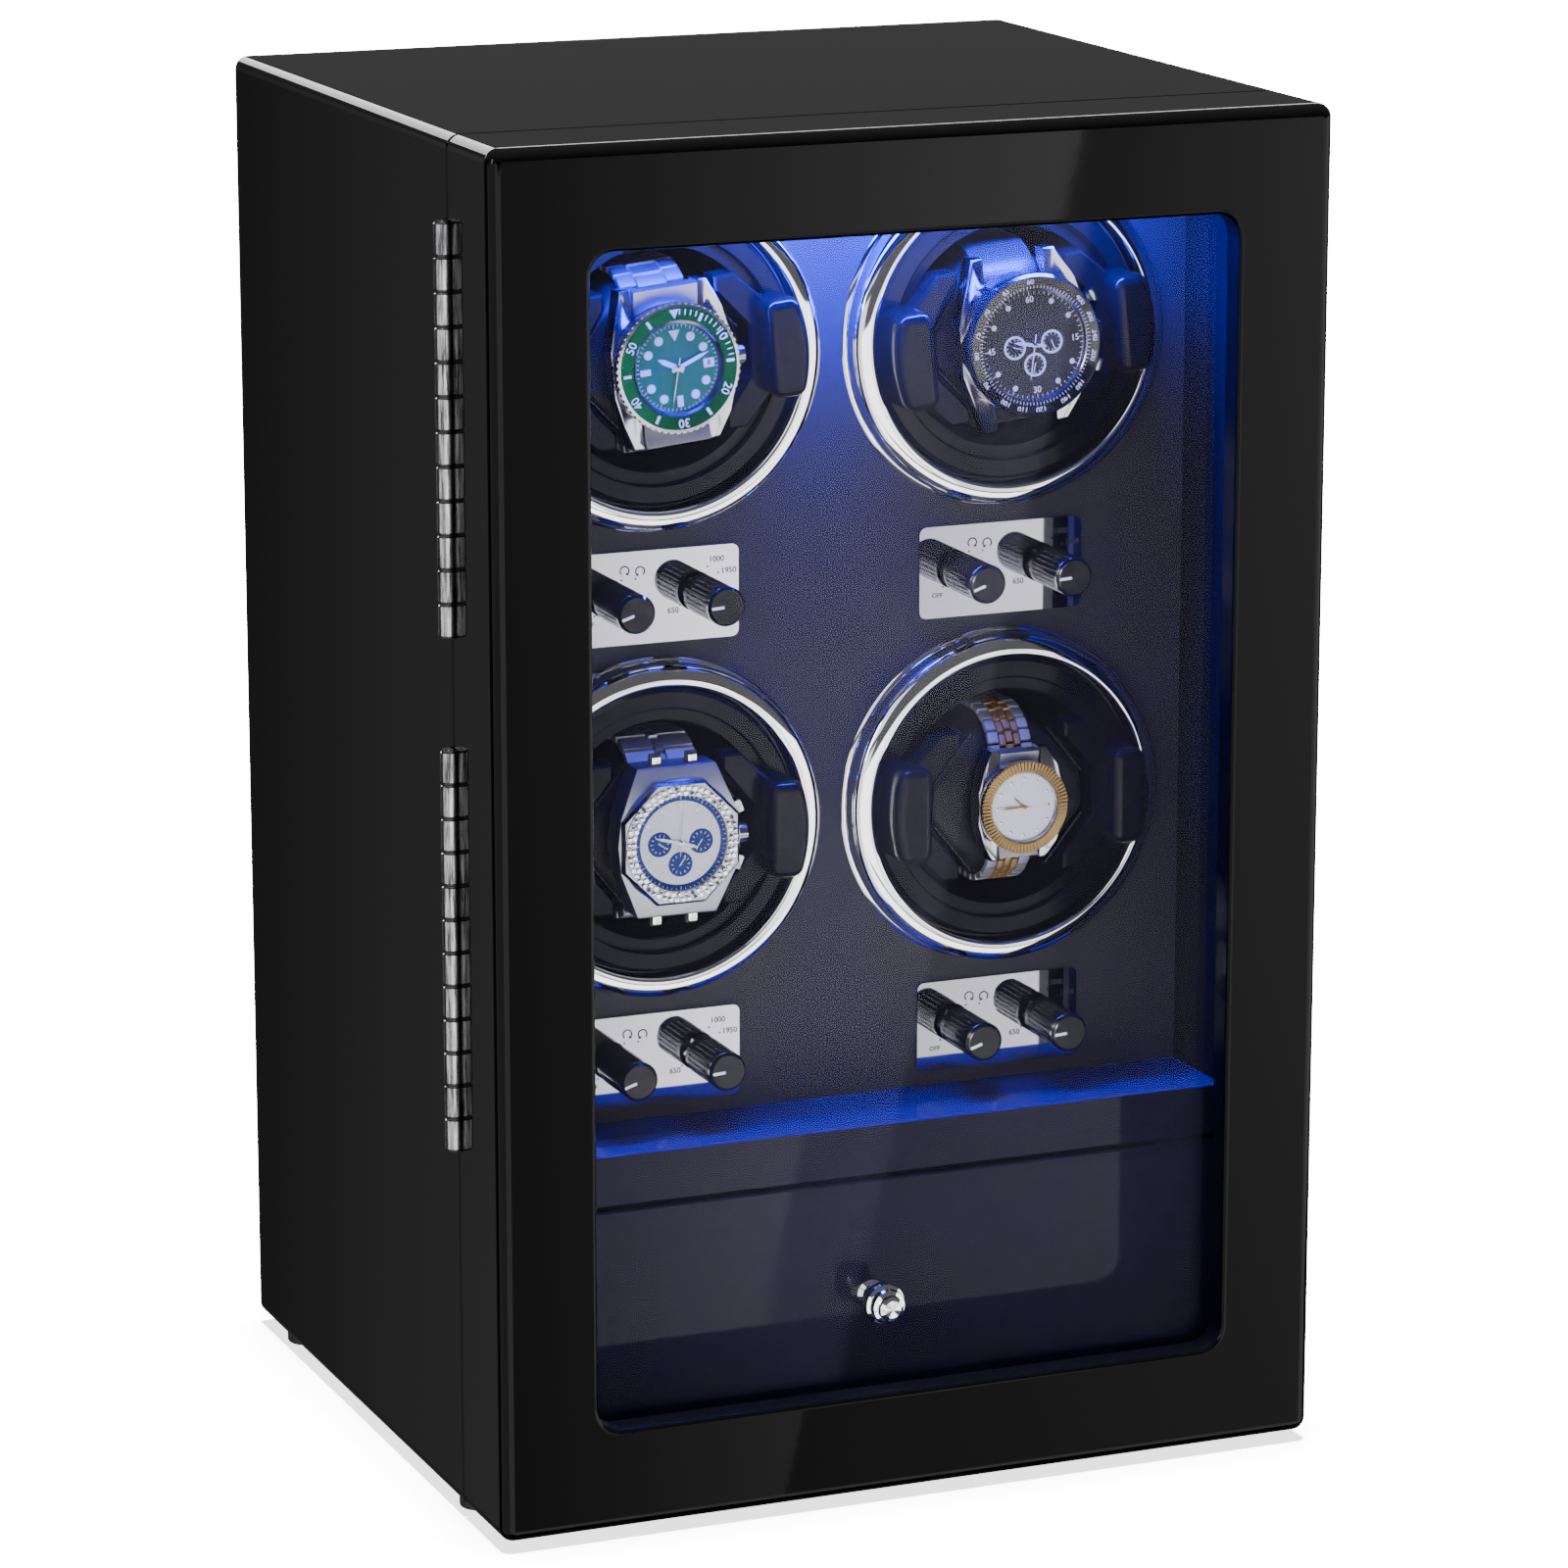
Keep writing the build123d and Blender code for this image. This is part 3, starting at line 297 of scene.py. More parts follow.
def make_materials():
    """Fills M with every material."""
    lacquer("lacquer")
    # partly painted light: a black lacquer made brighter and bluer, standing for the blue strip's light on
    # the drawer front and shelf
    lacquer("inner_lacquer_painted_blue", (0.02, 0.05), 0.15, (0.007, 0.006, 0.016))
    # painted light: a bright blue lacquer for the shelf's top that stands for the blue strip's light
    # falling on it
    lacquer("shelf_top_painted_blue_light", (0.02, 0.05), 0.15, (0.016, 0.010, 0.095))
    lacquer("window_lip", (0.25, 0.35), 0.06)
    grained_leather("panel_leather", (0.022, 0.021, 0.030))
    grained_leather("wall_lining", (0.006, 0.006, 0.009), specular=0.05)
    grained_leather("cushion_leather", (0.007, 0.007, 0.009), 1100, 0.0001, (0.36, 0.5))
    grained_leather("watch_strap", (0.02, 0.02, 0.022), 1200, 0.00005, (0.25, 0.35))
    printed("thread", (0.03, 0.03, 0.035), 0.7)
    polished_metal("chrome", (0.92, 0.92, 0.94))
    polished_metal("plate_steel", (0.50, 0.49, 0.58), (0.015, 0.05), 30)
    drawn_metal("hinge_nickel", (0.42, 0.42, 0.43), (0.05, 0.05, 0.055))
    polished_metal("steel", (0.42, 0.42, 0.48), (0.10, 0.22), 200)
    brushed_metal("brushed_steel", (0.34, 0.34, 0.40), (1, 1, 14), (0.30, 0.45))
    polished_metal("gold", (0.23, 0.155, 0.068), (0.08, 0.18), 200)
    brushed_metal("satin_steel", (0.62, 0.62, 0.70), (1, 1, 14), (0.42, 0.55))
    brushed_metal("satin_gold", (0.66, 0.45, 0.20), (1, 1, 14), (0.40, 0.55))
    brushed_metal("zinc", (0.45, 0.45, 0.46))
    brushed_metal("bronze", (0.45, 0.30, 0.14))
    plastic("cup_gloss", (0.003, 0.003, 0.005), (0.05, 0.11), 300, 0.000002, 0.12)
    plastic("black_plastic", (0.018, 0.018, 0.019))
    plastic("knob_side", (0.002, 0.002, 0.0025), (0.07, 0.13), 900, 0.000003, 0.3)
    turned_face("knob_face", (0.006, 0.006, 0.007))
    plastic("foot_rubber", (0.015, 0.015, 0.015), (0.6, 0.8))
    plastic("board_black", (0.012, 0.012, 0.013), (0.5, 0.7), 500, 0.00005)
    plastic("back_board", (0.016, 0.016, 0.016), (0.55, 0.75), 800, 0.00006)
    plastic("circuit_board", (0.01, 0.07, 0.03), (0.3, 0.5))
    felt("drawer_felt", (0.020, 0.020, 0.024))
    clear_glass("door_glass", 1.15, (0.66, 0.65, 1.0), 0.0079)
    clear_glass("watch_crystal", 1.07)
    glowing("led_light", (0.02, 0.20, 1.0), 60)
    glowing("led_diffuser", (0.02, 0.10, 1.0), 14)
    printed("white_print", (0.75, 0.76, 0.78))
    printed("pointer_paint", (0.95, 0.95, 0.97))
    # dark ink for print, also used for the painted shade bands between the hinge knuckles
    printed("dark_print_and_painted_shade", (0.004, 0.004, 0.005))
    printed("lume", (0.62, 0.68, 0.74), 0.4)
    dial("green_dial", (0.004, 0.16, 0.075), (0.002, 0.09, 0.04))
    polished_metal("green_ring", (0.003, 0.055, 0.030), (0.12, 0.2))
    dial("black_dial", (0.028, 0.028, 0.032), (0.015, 0.015, 0.018))
    plastic("black_ring", (0.006, 0.006, 0.007), (0.06, 0.1))
    dial("silver_dial", (0.72, 0.73, 0.78), (0.5, 0.52, 0.58))
    dial("white_dial", (0.66, 0.68, 0.74), (0.52, 0.54, 0.6))
    dial("blue_dial", (0.012, 0.035, 0.22), (0.008, 0.02, 0.12))
    polished_metal("bezel_stones", (0.85, 0.87, 0.92), (0.02, 0.05))


FINISHED_NODES = {
    "lacquer": ["cabinet_shell", "door_frame"],
    "inner_lacquer_painted_blue": ["divider_shelf", "drawer_front"],
    "back_board": ["back_panel"],
    "board_black": ["winder_panel", "glass_retainer", "drawer_tray"],
    "panel_leather": ["panel_leather"],
    "wall_lining": ["wall_lining"],
    "drawer_felt": ["drawer_lining"],
    "foot_rubber": ["feet"],
    "black_plastic": ["dc_jack", "switch_housing", "rotor_housings", "rotary_switches"],
    "cup_gloss": [f"rotor_cup_{k}" for k in range(1, 5)],
    "knob_side": ["switch_rocker"] + [f"control_knob_{k}" for k in range(1, 9)],
    "led_light": ["led_strip"],
    "led_diffuser": ["led_cover"],
    "door_glass": ["door_glass"],
    "circuit_board": ["control_board"],
    "hinge_nickel": ["hinge_pins", "hinge_leaf_cabinet", "hinge_leaf_door"],
    "chrome": ["bezel_rings", "switch_nuts", "drawer_knob"],
    "plate_steel": ["control_plates"],
    "bronze": ["rotor_bushes"],
    "zinc": ["back_screws", "hinge_screws_cabinet", "hinge_screws_door", "catch_magnets", "strike_plates",
             "motors", "drawer_knob_screw"] + [f"rotor_shaft_{k}" for k in range(1, 5)],
}

SMOOTH_ANGLE = math.radians(32)
LIP_NORMAL = 0.4  # faces of the window that look less to the front than this are its lip
TOP_NORMAL = 0.6  # faces of the shelf that look more upwards than this are its top, which gets painted blue light


def paint_faces(name, finish, chosen):
    """Gives the faces of a node that chosen() picks, by place and normal, a second material."""
    mesh = nodes[name].data
    mesh.materials.append(M[finish])
    place = nodes[name].matrix_world
    turn = place.to_3x3()
    for face in mesh.polygons:
        if chosen(place @ face.center, (turn @ face.normal).normalized()):
            face.material_index = 1


def finish_cad():
    """Gives every CAD node that stays in view its material and smooth curved faces."""
    for finish, names in FINISHED_NODES.items():
        for name in names:
            mesh = nodes[name].data
            mesh.materials.clear()
            mesh.materials.append(M[finish])
            mesh.polygons.foreach_set("use_smooth", [True] * len(mesh.polygons))
            mesh.set_sharp_from_angle(angle=SMOOTH_ANGLE)
    low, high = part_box("door_glass")
    paint_faces("door_frame", "window_lip", lambda at, normal: (
        low.x < at.x < high.x and low.z < at.z < high.z and abs(normal.y) < LIP_NORMAL))
    # painted light: the shelf's upward faces get the blue lit lacquer
    paint_faces("divider_shelf", "shelf_top_painted_blue_light", lambda at, normal: normal.z > TOP_NORMAL)


# ---- stage ----
FLOOR_SIZE = 40.0
FLOOR_GLOW = 2.5  # lightens the shadow under the case
WORLD_LIGHT = 20.0
ROOM_LIGHT = 0.095
ROOM_RADIUS = 12.0


def emission(name, strength):
    """A material that only shines, white."""
    mat = bpy.data.materials.new(name)
    mat.use_nodes = True
    tree = mat.node_tree
    tree.nodes.clear()
    out = tree.nodes.new("ShaderNodeOutputMaterial")
    light = add_node(tree, "ShaderNodeEmission", Color=(1, 1, 1, 1), Strength=strength)
    tree.links.new(light.outputs["Emission"], out.inputs["Surface"])
    return mat


def stage_mesh(name, points, faces, mat):
    """A mesh that belongs to the studio and not to the object."""
    mesh = bpy.data.meshes.new(name)
    mesh.from_pydata([tuple(p) for p in points], [], faces)
    mesh.materials.append(mat)
    obj = new_object(name, mesh)
    return obj


def only_reflected(obj):
    """Seen only in reflections and through glass, like studio cards outside the picture."""
    obj.visible_camera = False
    obj.visible_diffuse = False
    obj.visible_shadow = False


def add_stage():
    """A white floor and background, a pale room for reflections, and the studio's cards."""
    world = bpy.data.worlds.new("studio")
    bpy.context.scene.world = world
    world.use_nodes = True
    background = world.node_tree.nodes["Background"]
    background.inputs["Color"].default_value = (1, 1, 1, 1)
    background.inputs["Strength"].default_value = WORLD_LIGHT
    for ray in ("diffuse", "glossy", "transmission"):
        setattr(world.cycles_visibility, ray, False)
    Look(
        "pale_floor", (0.92, 0.92, 0.92), 0.9, Specular_IOR_Level=0.0, Emission_Color=(1, 1, 1, 1),
        Emission_Strength=FLOOR_GLOW,
    )
    corners = [(x, y, 0) for x, y in rectangle(FLOOR_SIZE, FLOOR_SIZE)]
    floor = stage_mesh("floor", corners, [(0, 1, 2, 3)], M["pale_floor"])
    floor.visible_glossy = False
    floor.visible_diffuse = False
    floor.visible_transmission = False

    bpy.ops.mesh.primitive_uv_sphere_add(segments=48, ring_count=24, radius=ROOM_RADIUS)
    room = bpy.context.object
    room.name = "room_reflection"
    room.data.materials.append(emission("room_reflection", ROOM_LIGHT))
    only_reflected(room)
    add_front_cards()
    add_side_cards()


def upright(start, end, low, high):
    """The corners of a card that stands over a line from start to end, between two heights."""
    return [(*start, low), (*end, low), (*end, high), (*start, high)]


def card(name, corners, strength):
    """A lit studio card with these four corners."""
    only_reflected(stage_mesh(name, corners, [(0, 1, 2, 3)], emission(name, strength)))


GRID = 12


def graded_card(name, corners, levels, power=1.0):
    """A card lit unevenly; corners and levels run low left, low right, top right, top left."""
    a, b, c, d = (Vector(p) for p in corners)
    low_left, low_right, top_right, top_left = levels
    points, glow = [], []
    for i in range(GRID + 1):
        for j in range(GRID + 1):
            u, v = i / GRID, j / GRID
            points.append((a * (1 - u) + b * u) * (1 - v) + (d * (1 - u) + c * u) * v)
            w = u ** power
            low = low_left * (1 - w) + low_right * w
            high = top_left * (1 - w) + top_right * w
            glow.append(low * (1 - v) + high * v)
    step = GRID + 1
    firsts = [i * step + j for i in range(GRID) for j in range(GRID)]
    faces = [(n, n + step, n + step + 1, n + 1) for n in firsts]
    mat = emission(name, 1.0)
    lamp = next(node for node in mat.node_tree.nodes if node.type == "EMISSION")
    read = add_node(mat.node_tree, "ShaderNodeAttribute", {"attribute_name": "glow"})
    mat.node_tree.links.new(read.outputs["Fac"], lamp.inputs["Strength"])
    obj = stage_mesh(name, points, faces, mat)
    obj.data.attributes.new("glow", "FLOAT", "POINT").data.foreach_set("value", glow)
    only_reflected(obj)


CARD_Y = -1.5
WHITE = 3.4  # the strength of the plain white cards
EDGE_TOP_X = 0.0517  # where the split between the two front cards shows on the door
EDGE_LOW_X = -0.0405


def seen_in_door(x, z):
    """The place in the cards' plane that the camera sees mirrored at (x, z) of the door."""
    eye = Vector(CAMERA_AT)
    eye.y = 2 * FRONT_Y - eye.y
    along = Vector((x, FRONT_Y, z)) - eye
    return eye + along * ((CARD_Y - eye.y) / along.y)


def add_front_cards():
    """Two softboxes before the door: their shared edge shows as the slanting line in its front."""
    top_left, top, top_right = (
        seen_in_door(x, CASE_HIGH.z) for x in (CASE_LOW.x, EDGE_TOP_X, CASE_HIGH.x)
    )
    low_left, low, low_right = (
        seen_in_door(x, CASE_LOW.z) for x in (CASE_LOW.x, EDGE_LOW_X, CASE_HIGH.x)
    )
    graded_card("left_card", [low_left, low, top, top_left], (0.8, 2.1, 5.0, 1.1), 1.2)
    graded_card("right_card", [low, low_right, top_right, top], (0.95, 1.75, 3.1, 1.55))
    left, right, low_end = (-0.9, CARD_Y), (2.4, -0.3), (2.4, -0.9)
    bottom = -1.3
    card("white_left", [(*left, low.z), low_left, top_left, (*left, top.z)], WHITE)
    card("white_right", [low_right, (*right, low.z), (*right, top.z + 0.3), top_right], WHITE)
    card("white_low", upright(left, low_end, bottom, low.z), WHITE)


def add_side_cards():
    """Cards that shade the left side, draw bright lines on rounded edges and light the metal."""
    side, split = (-2.0, 6.1), (-2.0, 5.0)
    graded_card("side_card", upright(split, side, -3, 1), (0.26, 0.08, 0.08, 0.26))
    graded_card("side_card_near", upright((-2.0, 3.6), split, -3, 1), (0.55, 0.28, 0.28, 0.55))
    card("edge_strip", upright((-3, 3.4), (3, 3.4), 1.35, 2.2), 7.0)
    card("left_strip", upright((-3.4, -1.5), (-3.0, -2.3), -2.0, 2.4), 12.0)
    card("metal_card", upright((-3.4, 0.9), (-0.95, -2.4), -2.6, 0.6), 1.6)


def add_light(name, at, aim, size, energy, color=(1, 1, 1), size_y=None):
    """A rectangular lamp, turned to shine at a point."""
    data = bpy.data.lights.new(name, "AREA")
    data.shape = "RECTANGLE"
    data.size = size
    data.size_y = size_y or size
    data.energy = energy
    data.color = color
    light = new_object(name, data)
    light.location = at
    light.rotation_euler = (Vector(aim) - Vector(at)).to_track_quat("-Z", "Y").to_euler()
    return light


LED_ENERGY = 4.3
LED_COLOR = (0.012, 0.018, 1.0)
LED_WIDTH = 0.010
KEY_ENERGY = 9
KEY_AT = (-1.6, -2.0, 1.6)
KEY_AIM = (0, 0, 0.2)
KEY_SIZE = 1.4
SUN_ENERGY = 56


def add_lights():
    """The blue strip, a soft key light and a sun. Pieces that these shine through cast no shadow."""
    low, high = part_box("led_cover")
    under = ((low.x + high.x) / 2, (low.y + high.y) / 2, low.z - 0.0008)
    aim = (under[0], under[1] + 0.004, under[2] - 0.1)
    led = add_light("led_glow", under, aim, high.x - low.x - 0.01, LED_ENERGY, LED_COLOR, LED_WIDTH)
    led.visible_camera = False
    key = add_light("key", KEY_AT, KEY_AIM, KEY_SIZE, KEY_ENERGY)
    key.visible_glossy = False
    data = bpy.data.lights.new("overhead", "SUN")
    data.energy = SUN_ENERGY
    data.angle = math.radians(8)
    overhead = new_object("overhead", data)
    overhead.location = (0, 0, 3)
    overhead.visible_glossy = False
    lit_through = ["door_glass", "rotor_housings"] + [f"chrome_ring_{k}" for k in range(1, 5)]
    for name in lit_through:
        bpy.data.objects[name].visible_shadow = False


# ---- mesh building ----
BEND_RATE = 0.02  # how fast a bent prism curves back


class Shape:
    """Gathers turned, extruded and boxed bodies in one mesh, each with its material's name.

    Local axes: x right, z up, y back; sizes in millimetres."""

    def __init__(self, name):
        self.name = name
        self.bm = bmesh.new()
        self.mats = []

    def _index(self, mat):
        if mat not in self.mats:
            self.mats.append(mat)
        return self.mats.index(mat)

    def _paint(self, faces, mat):
        index = self._index(mat)
        for face in faces:
            face.material_index = index
            face.smooth = True

    def _round_edges(self, faces, round_by, mat):
        """Bevels the edges of painted faces; the flat ones keep their paint when they are rebuilt."""
        edges = {e for f in faces for e in f.edges}
        made = bmesh.ops.bevel(
            self.bm, geom=list(edges), offset=round_by * MM, segments=2, profile=0.7, affect="EDGES"
        )
        self._paint(made["faces"], mat)
        return [f for f in faces if f.is_valid] + made["faces"]

    def lathe(self, profile, mat, at=(0, 0), steps=96, closed=True, start=0.0):
        """Turns (radius, y) points about a Y line through at."""
        rows = []
        for n in range(steps):
            turn = start + 2 * math.pi * n / steps
            c, s = math.cos(turn), math.sin(turn)
            rows.append([self.bm.verts.new(((at[0] + r * c) * MM, y * MM, (at[1] + r * s) * MM))
                         for r, y in profile])
        faces = []
        count = len(profile)
        for n in range(steps):
            a, b = rows[n], rows[(n + 1) % steps]
            for i in range(count if closed else count - 1):
                j = (i + 1) % count
                quad = [a[i], a[j], b[j], b[i]]
                faces.append(self.bm.faces.new(quad))
        self._paint(faces, mat)

    def prism(self, outline, y0, y1, mat, at=(0, 0), turns=0.0, round_by=0.0, bend=0.0):
        """Extrudes an (x, z) outline, turned clockwise, between two depths, with softened edges.

        Beyond a height of bend above or below the middle it curves back."""
        angle = -2 * math.pi * turns
        c, s = math.cos(angle), math.sin(angle)
        ends = []
        for y in (y0, y1):
            ends.append([
                self.bm.verts.new(((at[0] + x * c - z * s) * MM, y * MM, (at[1] + x * s + z * c) * MM))
                for x, z in outline
            ])
        count = len(outline)
        faces = [self.bm.faces.new(ends[0]), self.bm.faces.new(list(reversed(ends[1])))]
        for i in range(count):
            j = (i + 1) % count
            faces.append(self.bm.faces.new([ends[0][j], ends[0][i], ends[1][i], ends[1][j]]))
        self._paint(faces, mat)
        if round_by:
            faces = self._round_edges(faces, round_by, mat)
        if bend:
            for vert in {v for f in faces for v in f.verts}:
                vert.co.y += BEND_RATE * max(abs(vert.co.z) / MM - bend, 0) ** 2 * MM

    def block(self, size, matrix, mat, round_by=0.0):
        """A box of (x, y, z) size placed by a matrix in millimetres."""
        verts = bmesh.ops.create_cube(self.bm, size=1.0)["verts"]
        place = Matrix.Scale(MM, 4) @ matrix @ Matrix.Diagonal((*size, 1))
        bmesh.ops.transform(self.bm, matrix=place, verts=verts)
        faces = {f for v in verts for f in v.link_faces}
        self._paint(faces, mat)
        if round_by:
            self._round_edges(faces, round_by, mat)

    def add_mesh(self, mesh, matrix, mat):
        """Copies a mesh in, placed by a matrix in metres."""
        before = set(self.bm.faces)
        copy = mesh.copy()
        copy.transform(matrix)
        self.bm.from_mesh(copy)
        bpy.data.meshes.remove(copy)
        self._paint([f for f in self.bm.faces if f not in before], mat)

    def make(self, matrix, body, sharp=35):
        """Ends the shape: makes its object, placed by a matrix in metres, riding a body."""
        bmesh.ops.recalc_face_normals(self.bm, faces=self.bm.faces)
        limit = math.radians(sharp)
        for edge in self.bm.edges:
            if len(edge.link_faces) == 2 and edge.calc_face_angle(0) > limit:
                edge.smooth = False
        mesh = bpy.data.meshes.new(self.name)
        self.bm.to_mesh(mesh)
        self.bm.free()
        for mat in self.mats:
            mesh.materials.append(M[mat])
        obj = new_object(self.name, mesh)
        obj.matrix_world = matrix
        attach(obj, body)
        return obj


def rectangle(width, height):
    """The corners of a rectangle about the origin."""
    x, z = width / 2, height / 2
    return [(-x, -z), (x, -z), (x, z), (-x, z)]


def clock(turns, radius):
    """The (x, z) place at a fraction of a clockwise turn from the top."""
    angle = 2 * math.pi * turns
    return radius * math.sin(angle), radius * math.cos(angle)


PRINT_DEPTH = 0.03
text_cache = {}


def text_mesh(text):
    """A flat, slightly raised mesh of a short text, one unit high, facing the front."""
    if text not in text_cache:
        curve = bpy.data.curves.new("text", "FONT")
        curve.body = text
        curve.align_x = "CENTER"
        curve.align_y = "CENTER"
        curve.extrude = 0.02
        curve.resolution_u = 3
        curve.offset = 0.012
        obj = new_object("text", curve)
        bpy.context.view_layer.update()
        text_cache[text] = bpy.data.meshes.new_from_object(obj)
        bpy.data.objects.remove(obj)
    return text_cache[text]


def put_text(shape, text, size, at, y, mat, turns=0.0):
    """Sets a text of that height in millimetres at (x, z), turned clockwise."""
    place = shift(at[0] * MM, y * MM, at[1] * MM) @ spin(2 * math.pi * turns, "Y")
    place = place @ spin(math.pi / 2, "X") @ Matrix.Scale(size * MM, 4)
    shape.add_mesh(text_mesh(text), place, mat)


# ---- hinges ----
KNUCKLE_R = 2.6
SHADE_BAND_R = KNUCKLE_R + 0.04  # painted shade: dark bands that stand for the shade in the gaps between the sleeves
SLEEVE_R = 2.92
SLEEVE_EDGE = 0.35
SLEEVE_STEPS = 40
KNUCKLES = 12
END_GAP = 0.35  # bare barrel at each end of a sleeve
HINGE_SPACE = 32.4  # between the two hinges


def add_hinge_sleeves():
    """Rounded knuckles on both hinges, in turn on the cabinet and the door, with bands of painted shade in
    the gaps between.
    """
    pin = joint_place("door_hinge")
    low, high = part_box("hinge_pins")
    length = (high.z - low.z - HINGE_SPACE * MM) / 2 / MM
    pitch = length / KNUCKLES
    shade_length = END_GAP - 0.04
    for number, base in enumerate((low.z, high.z - length * MM)):
        pieces = {
            body: Shape(f"hinge_knuckles_{body}_{number}") for body in ("cabinet", "door")
        }
        for n in range(KNUCKLES):
            y0, y1 = n * pitch + END_GAP, (n + 1) * pitch - END_GAP
            inside = SLEEVE_R - SLEEVE_EDGE
            sleeve = [
                (KNUCKLE_R, y0), (inside, y0), (SLEEVE_R, y0 + SLEEVE_EDGE),
                (SLEEVE_R, y1 - SLEEVE_EDGE), (inside, y1), (KNUCKLE_R, y1),
            ]
            shape = pieces["door" if n % 2 else "cabinet"]
            shape.lathe(sleeve, "hinge_nickel", steps=SLEEVE_STEPS)
            # painted shade: a dark band at each end of a sleeve, where the barrel lies in shade between
            # the knuckles
            for start, end in ((y1, y1 + shade_length), (y0 - shade_length, y0)):
                band = [(SHADE_BAND_R, start), (SHADE_BAND_R, end)]
                shape.lathe(band, "dark_print_and_painted_shade", steps=SLEEVE_STEPS, closed=False)
        for body, shape in pieces.items():
            place = shift(pin[0], pin[1], base) @ spin(math.pi / 2, "X")
            shape.make(place, body)


# ---- rotors: rings, cushions ----
def bezel_ring(k):
    """A heavy chrome ring, its face falling away outwards, with a thin flange against the leather."""
    crest = [
        (43.6, -8.3), (43.8, -8.9), (44.3, -9.3), (45.0, -9.4), (46.2, -9.22), (47.4, -8.9), (48.4, -8.45),
        (49.2, -7.8), (49.8, -6.9), (50.0, -5.8),
    ]
    profile = [(43.6, -0.05)] + crest + [(50.0, -1.4), (50.5, -1.2), (51.0, -0.8), (51.0, -0.05)]
    shape = Shape(f"chrome_ring_{k}")
    shape.lathe(profile, "chrome", steps=192)
    at = joint_place(f"rotor_{k}_turn")
    obj = shape.make(shift(at[0], LEATHER_Y, at[2]), "cabinet", sharp=50)
    return obj


CUSHION_SIZE = (51.0, 42.0, 50.0)
CUSHION_FRONT = -8.5  # from the leather's face, in local y
CUSHION_R = 14.0
BAND_CLEAR = 0.3


def loop_radius(angle, grow):
    """How far the rounded-square outline of the cushion's section lies from its middle at an angle."""
    half_y, half_z = CUSHION_SIZE[1] / 2, CUSHION_SIZE[2] / 2
    c, s = abs(math.cos(angle)), abs(math.sin(angle))
    low, high = 0.0, 60.0
    for _ in range(30):  # halves the span in which the outline lies
        mid = (low + high) / 2
        dy = max(mid * c - (half_y - CUSHION_R), 0)
        dz = max(mid * s - (half_z - CUSHION_R), 0)
        if math.hypot(dy, dz) > CUSHION_R + grow or mid * c > half_y + grow or mid * s > half_z + grow:
            high = mid
        else:
            low = mid
    return low


CORNER_X = 10.5  # where the slanting corners begin, from the cushion's middle
CORNER_SLOPE = 1.23  # how fast they slant in


def surface_radius(x, angle, grow):
    """The cushion's surface at a place along it: rolled in section, slanting in at its four corners."""
    lean = CUSHION_SIZE[2] / 2 - max(abs(x) - CORNER_X, 0) * CORNER_SLOPE + grow
    return min(loop_radius(angle, grow), lean / max(abs(math.sin(angle)), 0.02))


UNFILLED = -1.2  # how much smaller the skin is before it is filled
UNDER_BAND = -0.1
FREE_SWELL = 0.5


def cushion_base():
    """The cushion's closed shape, a little smaller than the space it fills."""
    bm = bmesh.new()
    columns, steps = 21, 48
    half = CUSHION_SIZE[0] / 2 - 1.0
    rows = []
    for i in range(columns):
        x = half * (-1 + 2 * i / (columns - 1))
        ring = []
        for n in range(steps):
            angle = 2 * math.pi * n / steps
            r = surface_radius(x, angle, UNFILLED)
            ring.append(bm.verts.new((x * MM, r * math.cos(angle) * MM, r * math.sin(angle) * MM)))
        rows.append(ring)
    for a, b in zip(rows, rows[1:]):
        for n in range(steps):
            m = (n + 1) % steps
            bm.faces.new([a[n], a[m], b[m], b[n]])
    bm.faces.new(rows[0])
    bm.faces.new(list(reversed(rows[-1])))
    bmesh.ops.recalc_face_normals(bm, faces=bm.faces)
    mesh = bpy.data.meshes.new("cushion")
    bm.to_mesh(mesh)
    bm.free()
    return new_object("cushion", mesh)


def apply_modifiers(obj):
    """Replaces the object's mesh with what its modifiers make of it now."""
    view = bpy.context.evaluated_depsgraph_get()
    mesh = bpy.data.meshes.new_from_object(obj.evaluated_get(view))
    obj.modifiers.clear()
    obj.data = mesh


SKIN_VOXEL = 0.0022
CLOTH_FRAMES = 20
CLOTH_CAP = 2.2  # the farthest that a point of the skin swells
CLOTH_SETTINGS = {
    "use_pressure": True, "uniform_pressure_force": 4.0, "mass": 0.2, "tension_stiffness": 20,
    "bending_stiffness": 2,
}


def inflate(obj):
    """Fills the cushion as cloth under light pressure, and limits how far it swells."""
    remesh = obj.modifiers.new("remesh", "REMESH")
    remesh.mode = "VOXEL"
    remesh.voxel_size = SKIN_VOXEL
    apply_modifiers(obj)
    start = [v.co.copy() for v in obj.data.vertices]
    cloth = obj.modifiers.new("cloth", "CLOTH")
    for key, value in CLOTH_SETTINGS.items():
        setattr(cloth.settings, key, value)
    cloth.settings.effector_weights.gravity = 0
    cloth.point_cache.frame_end = CLOTH_FRAMES
    scene = bpy.context.scene
    for number in range(1, CLOTH_FRAMES + 1):
        scene.frame_set(number)
    apply_modifiers(obj)
    scene.frame_set(1)
    for v, first in zip(obj.data.vertices, start):
        move = v.co - first
        if move.length > CLOTH_CAP * MM:
            v.co = first + move.normalized() * CLOTH_CAP * MM
    return obj


FOLD_WAVES = 7
BAND_EDGE = 3.0  # how far beside the band the cushion rises to its full size


def between(value, start, length):
    """How far a value is along a stretch, from 0 to 1."""
    return min(max((value - start) / length, 0), 1)


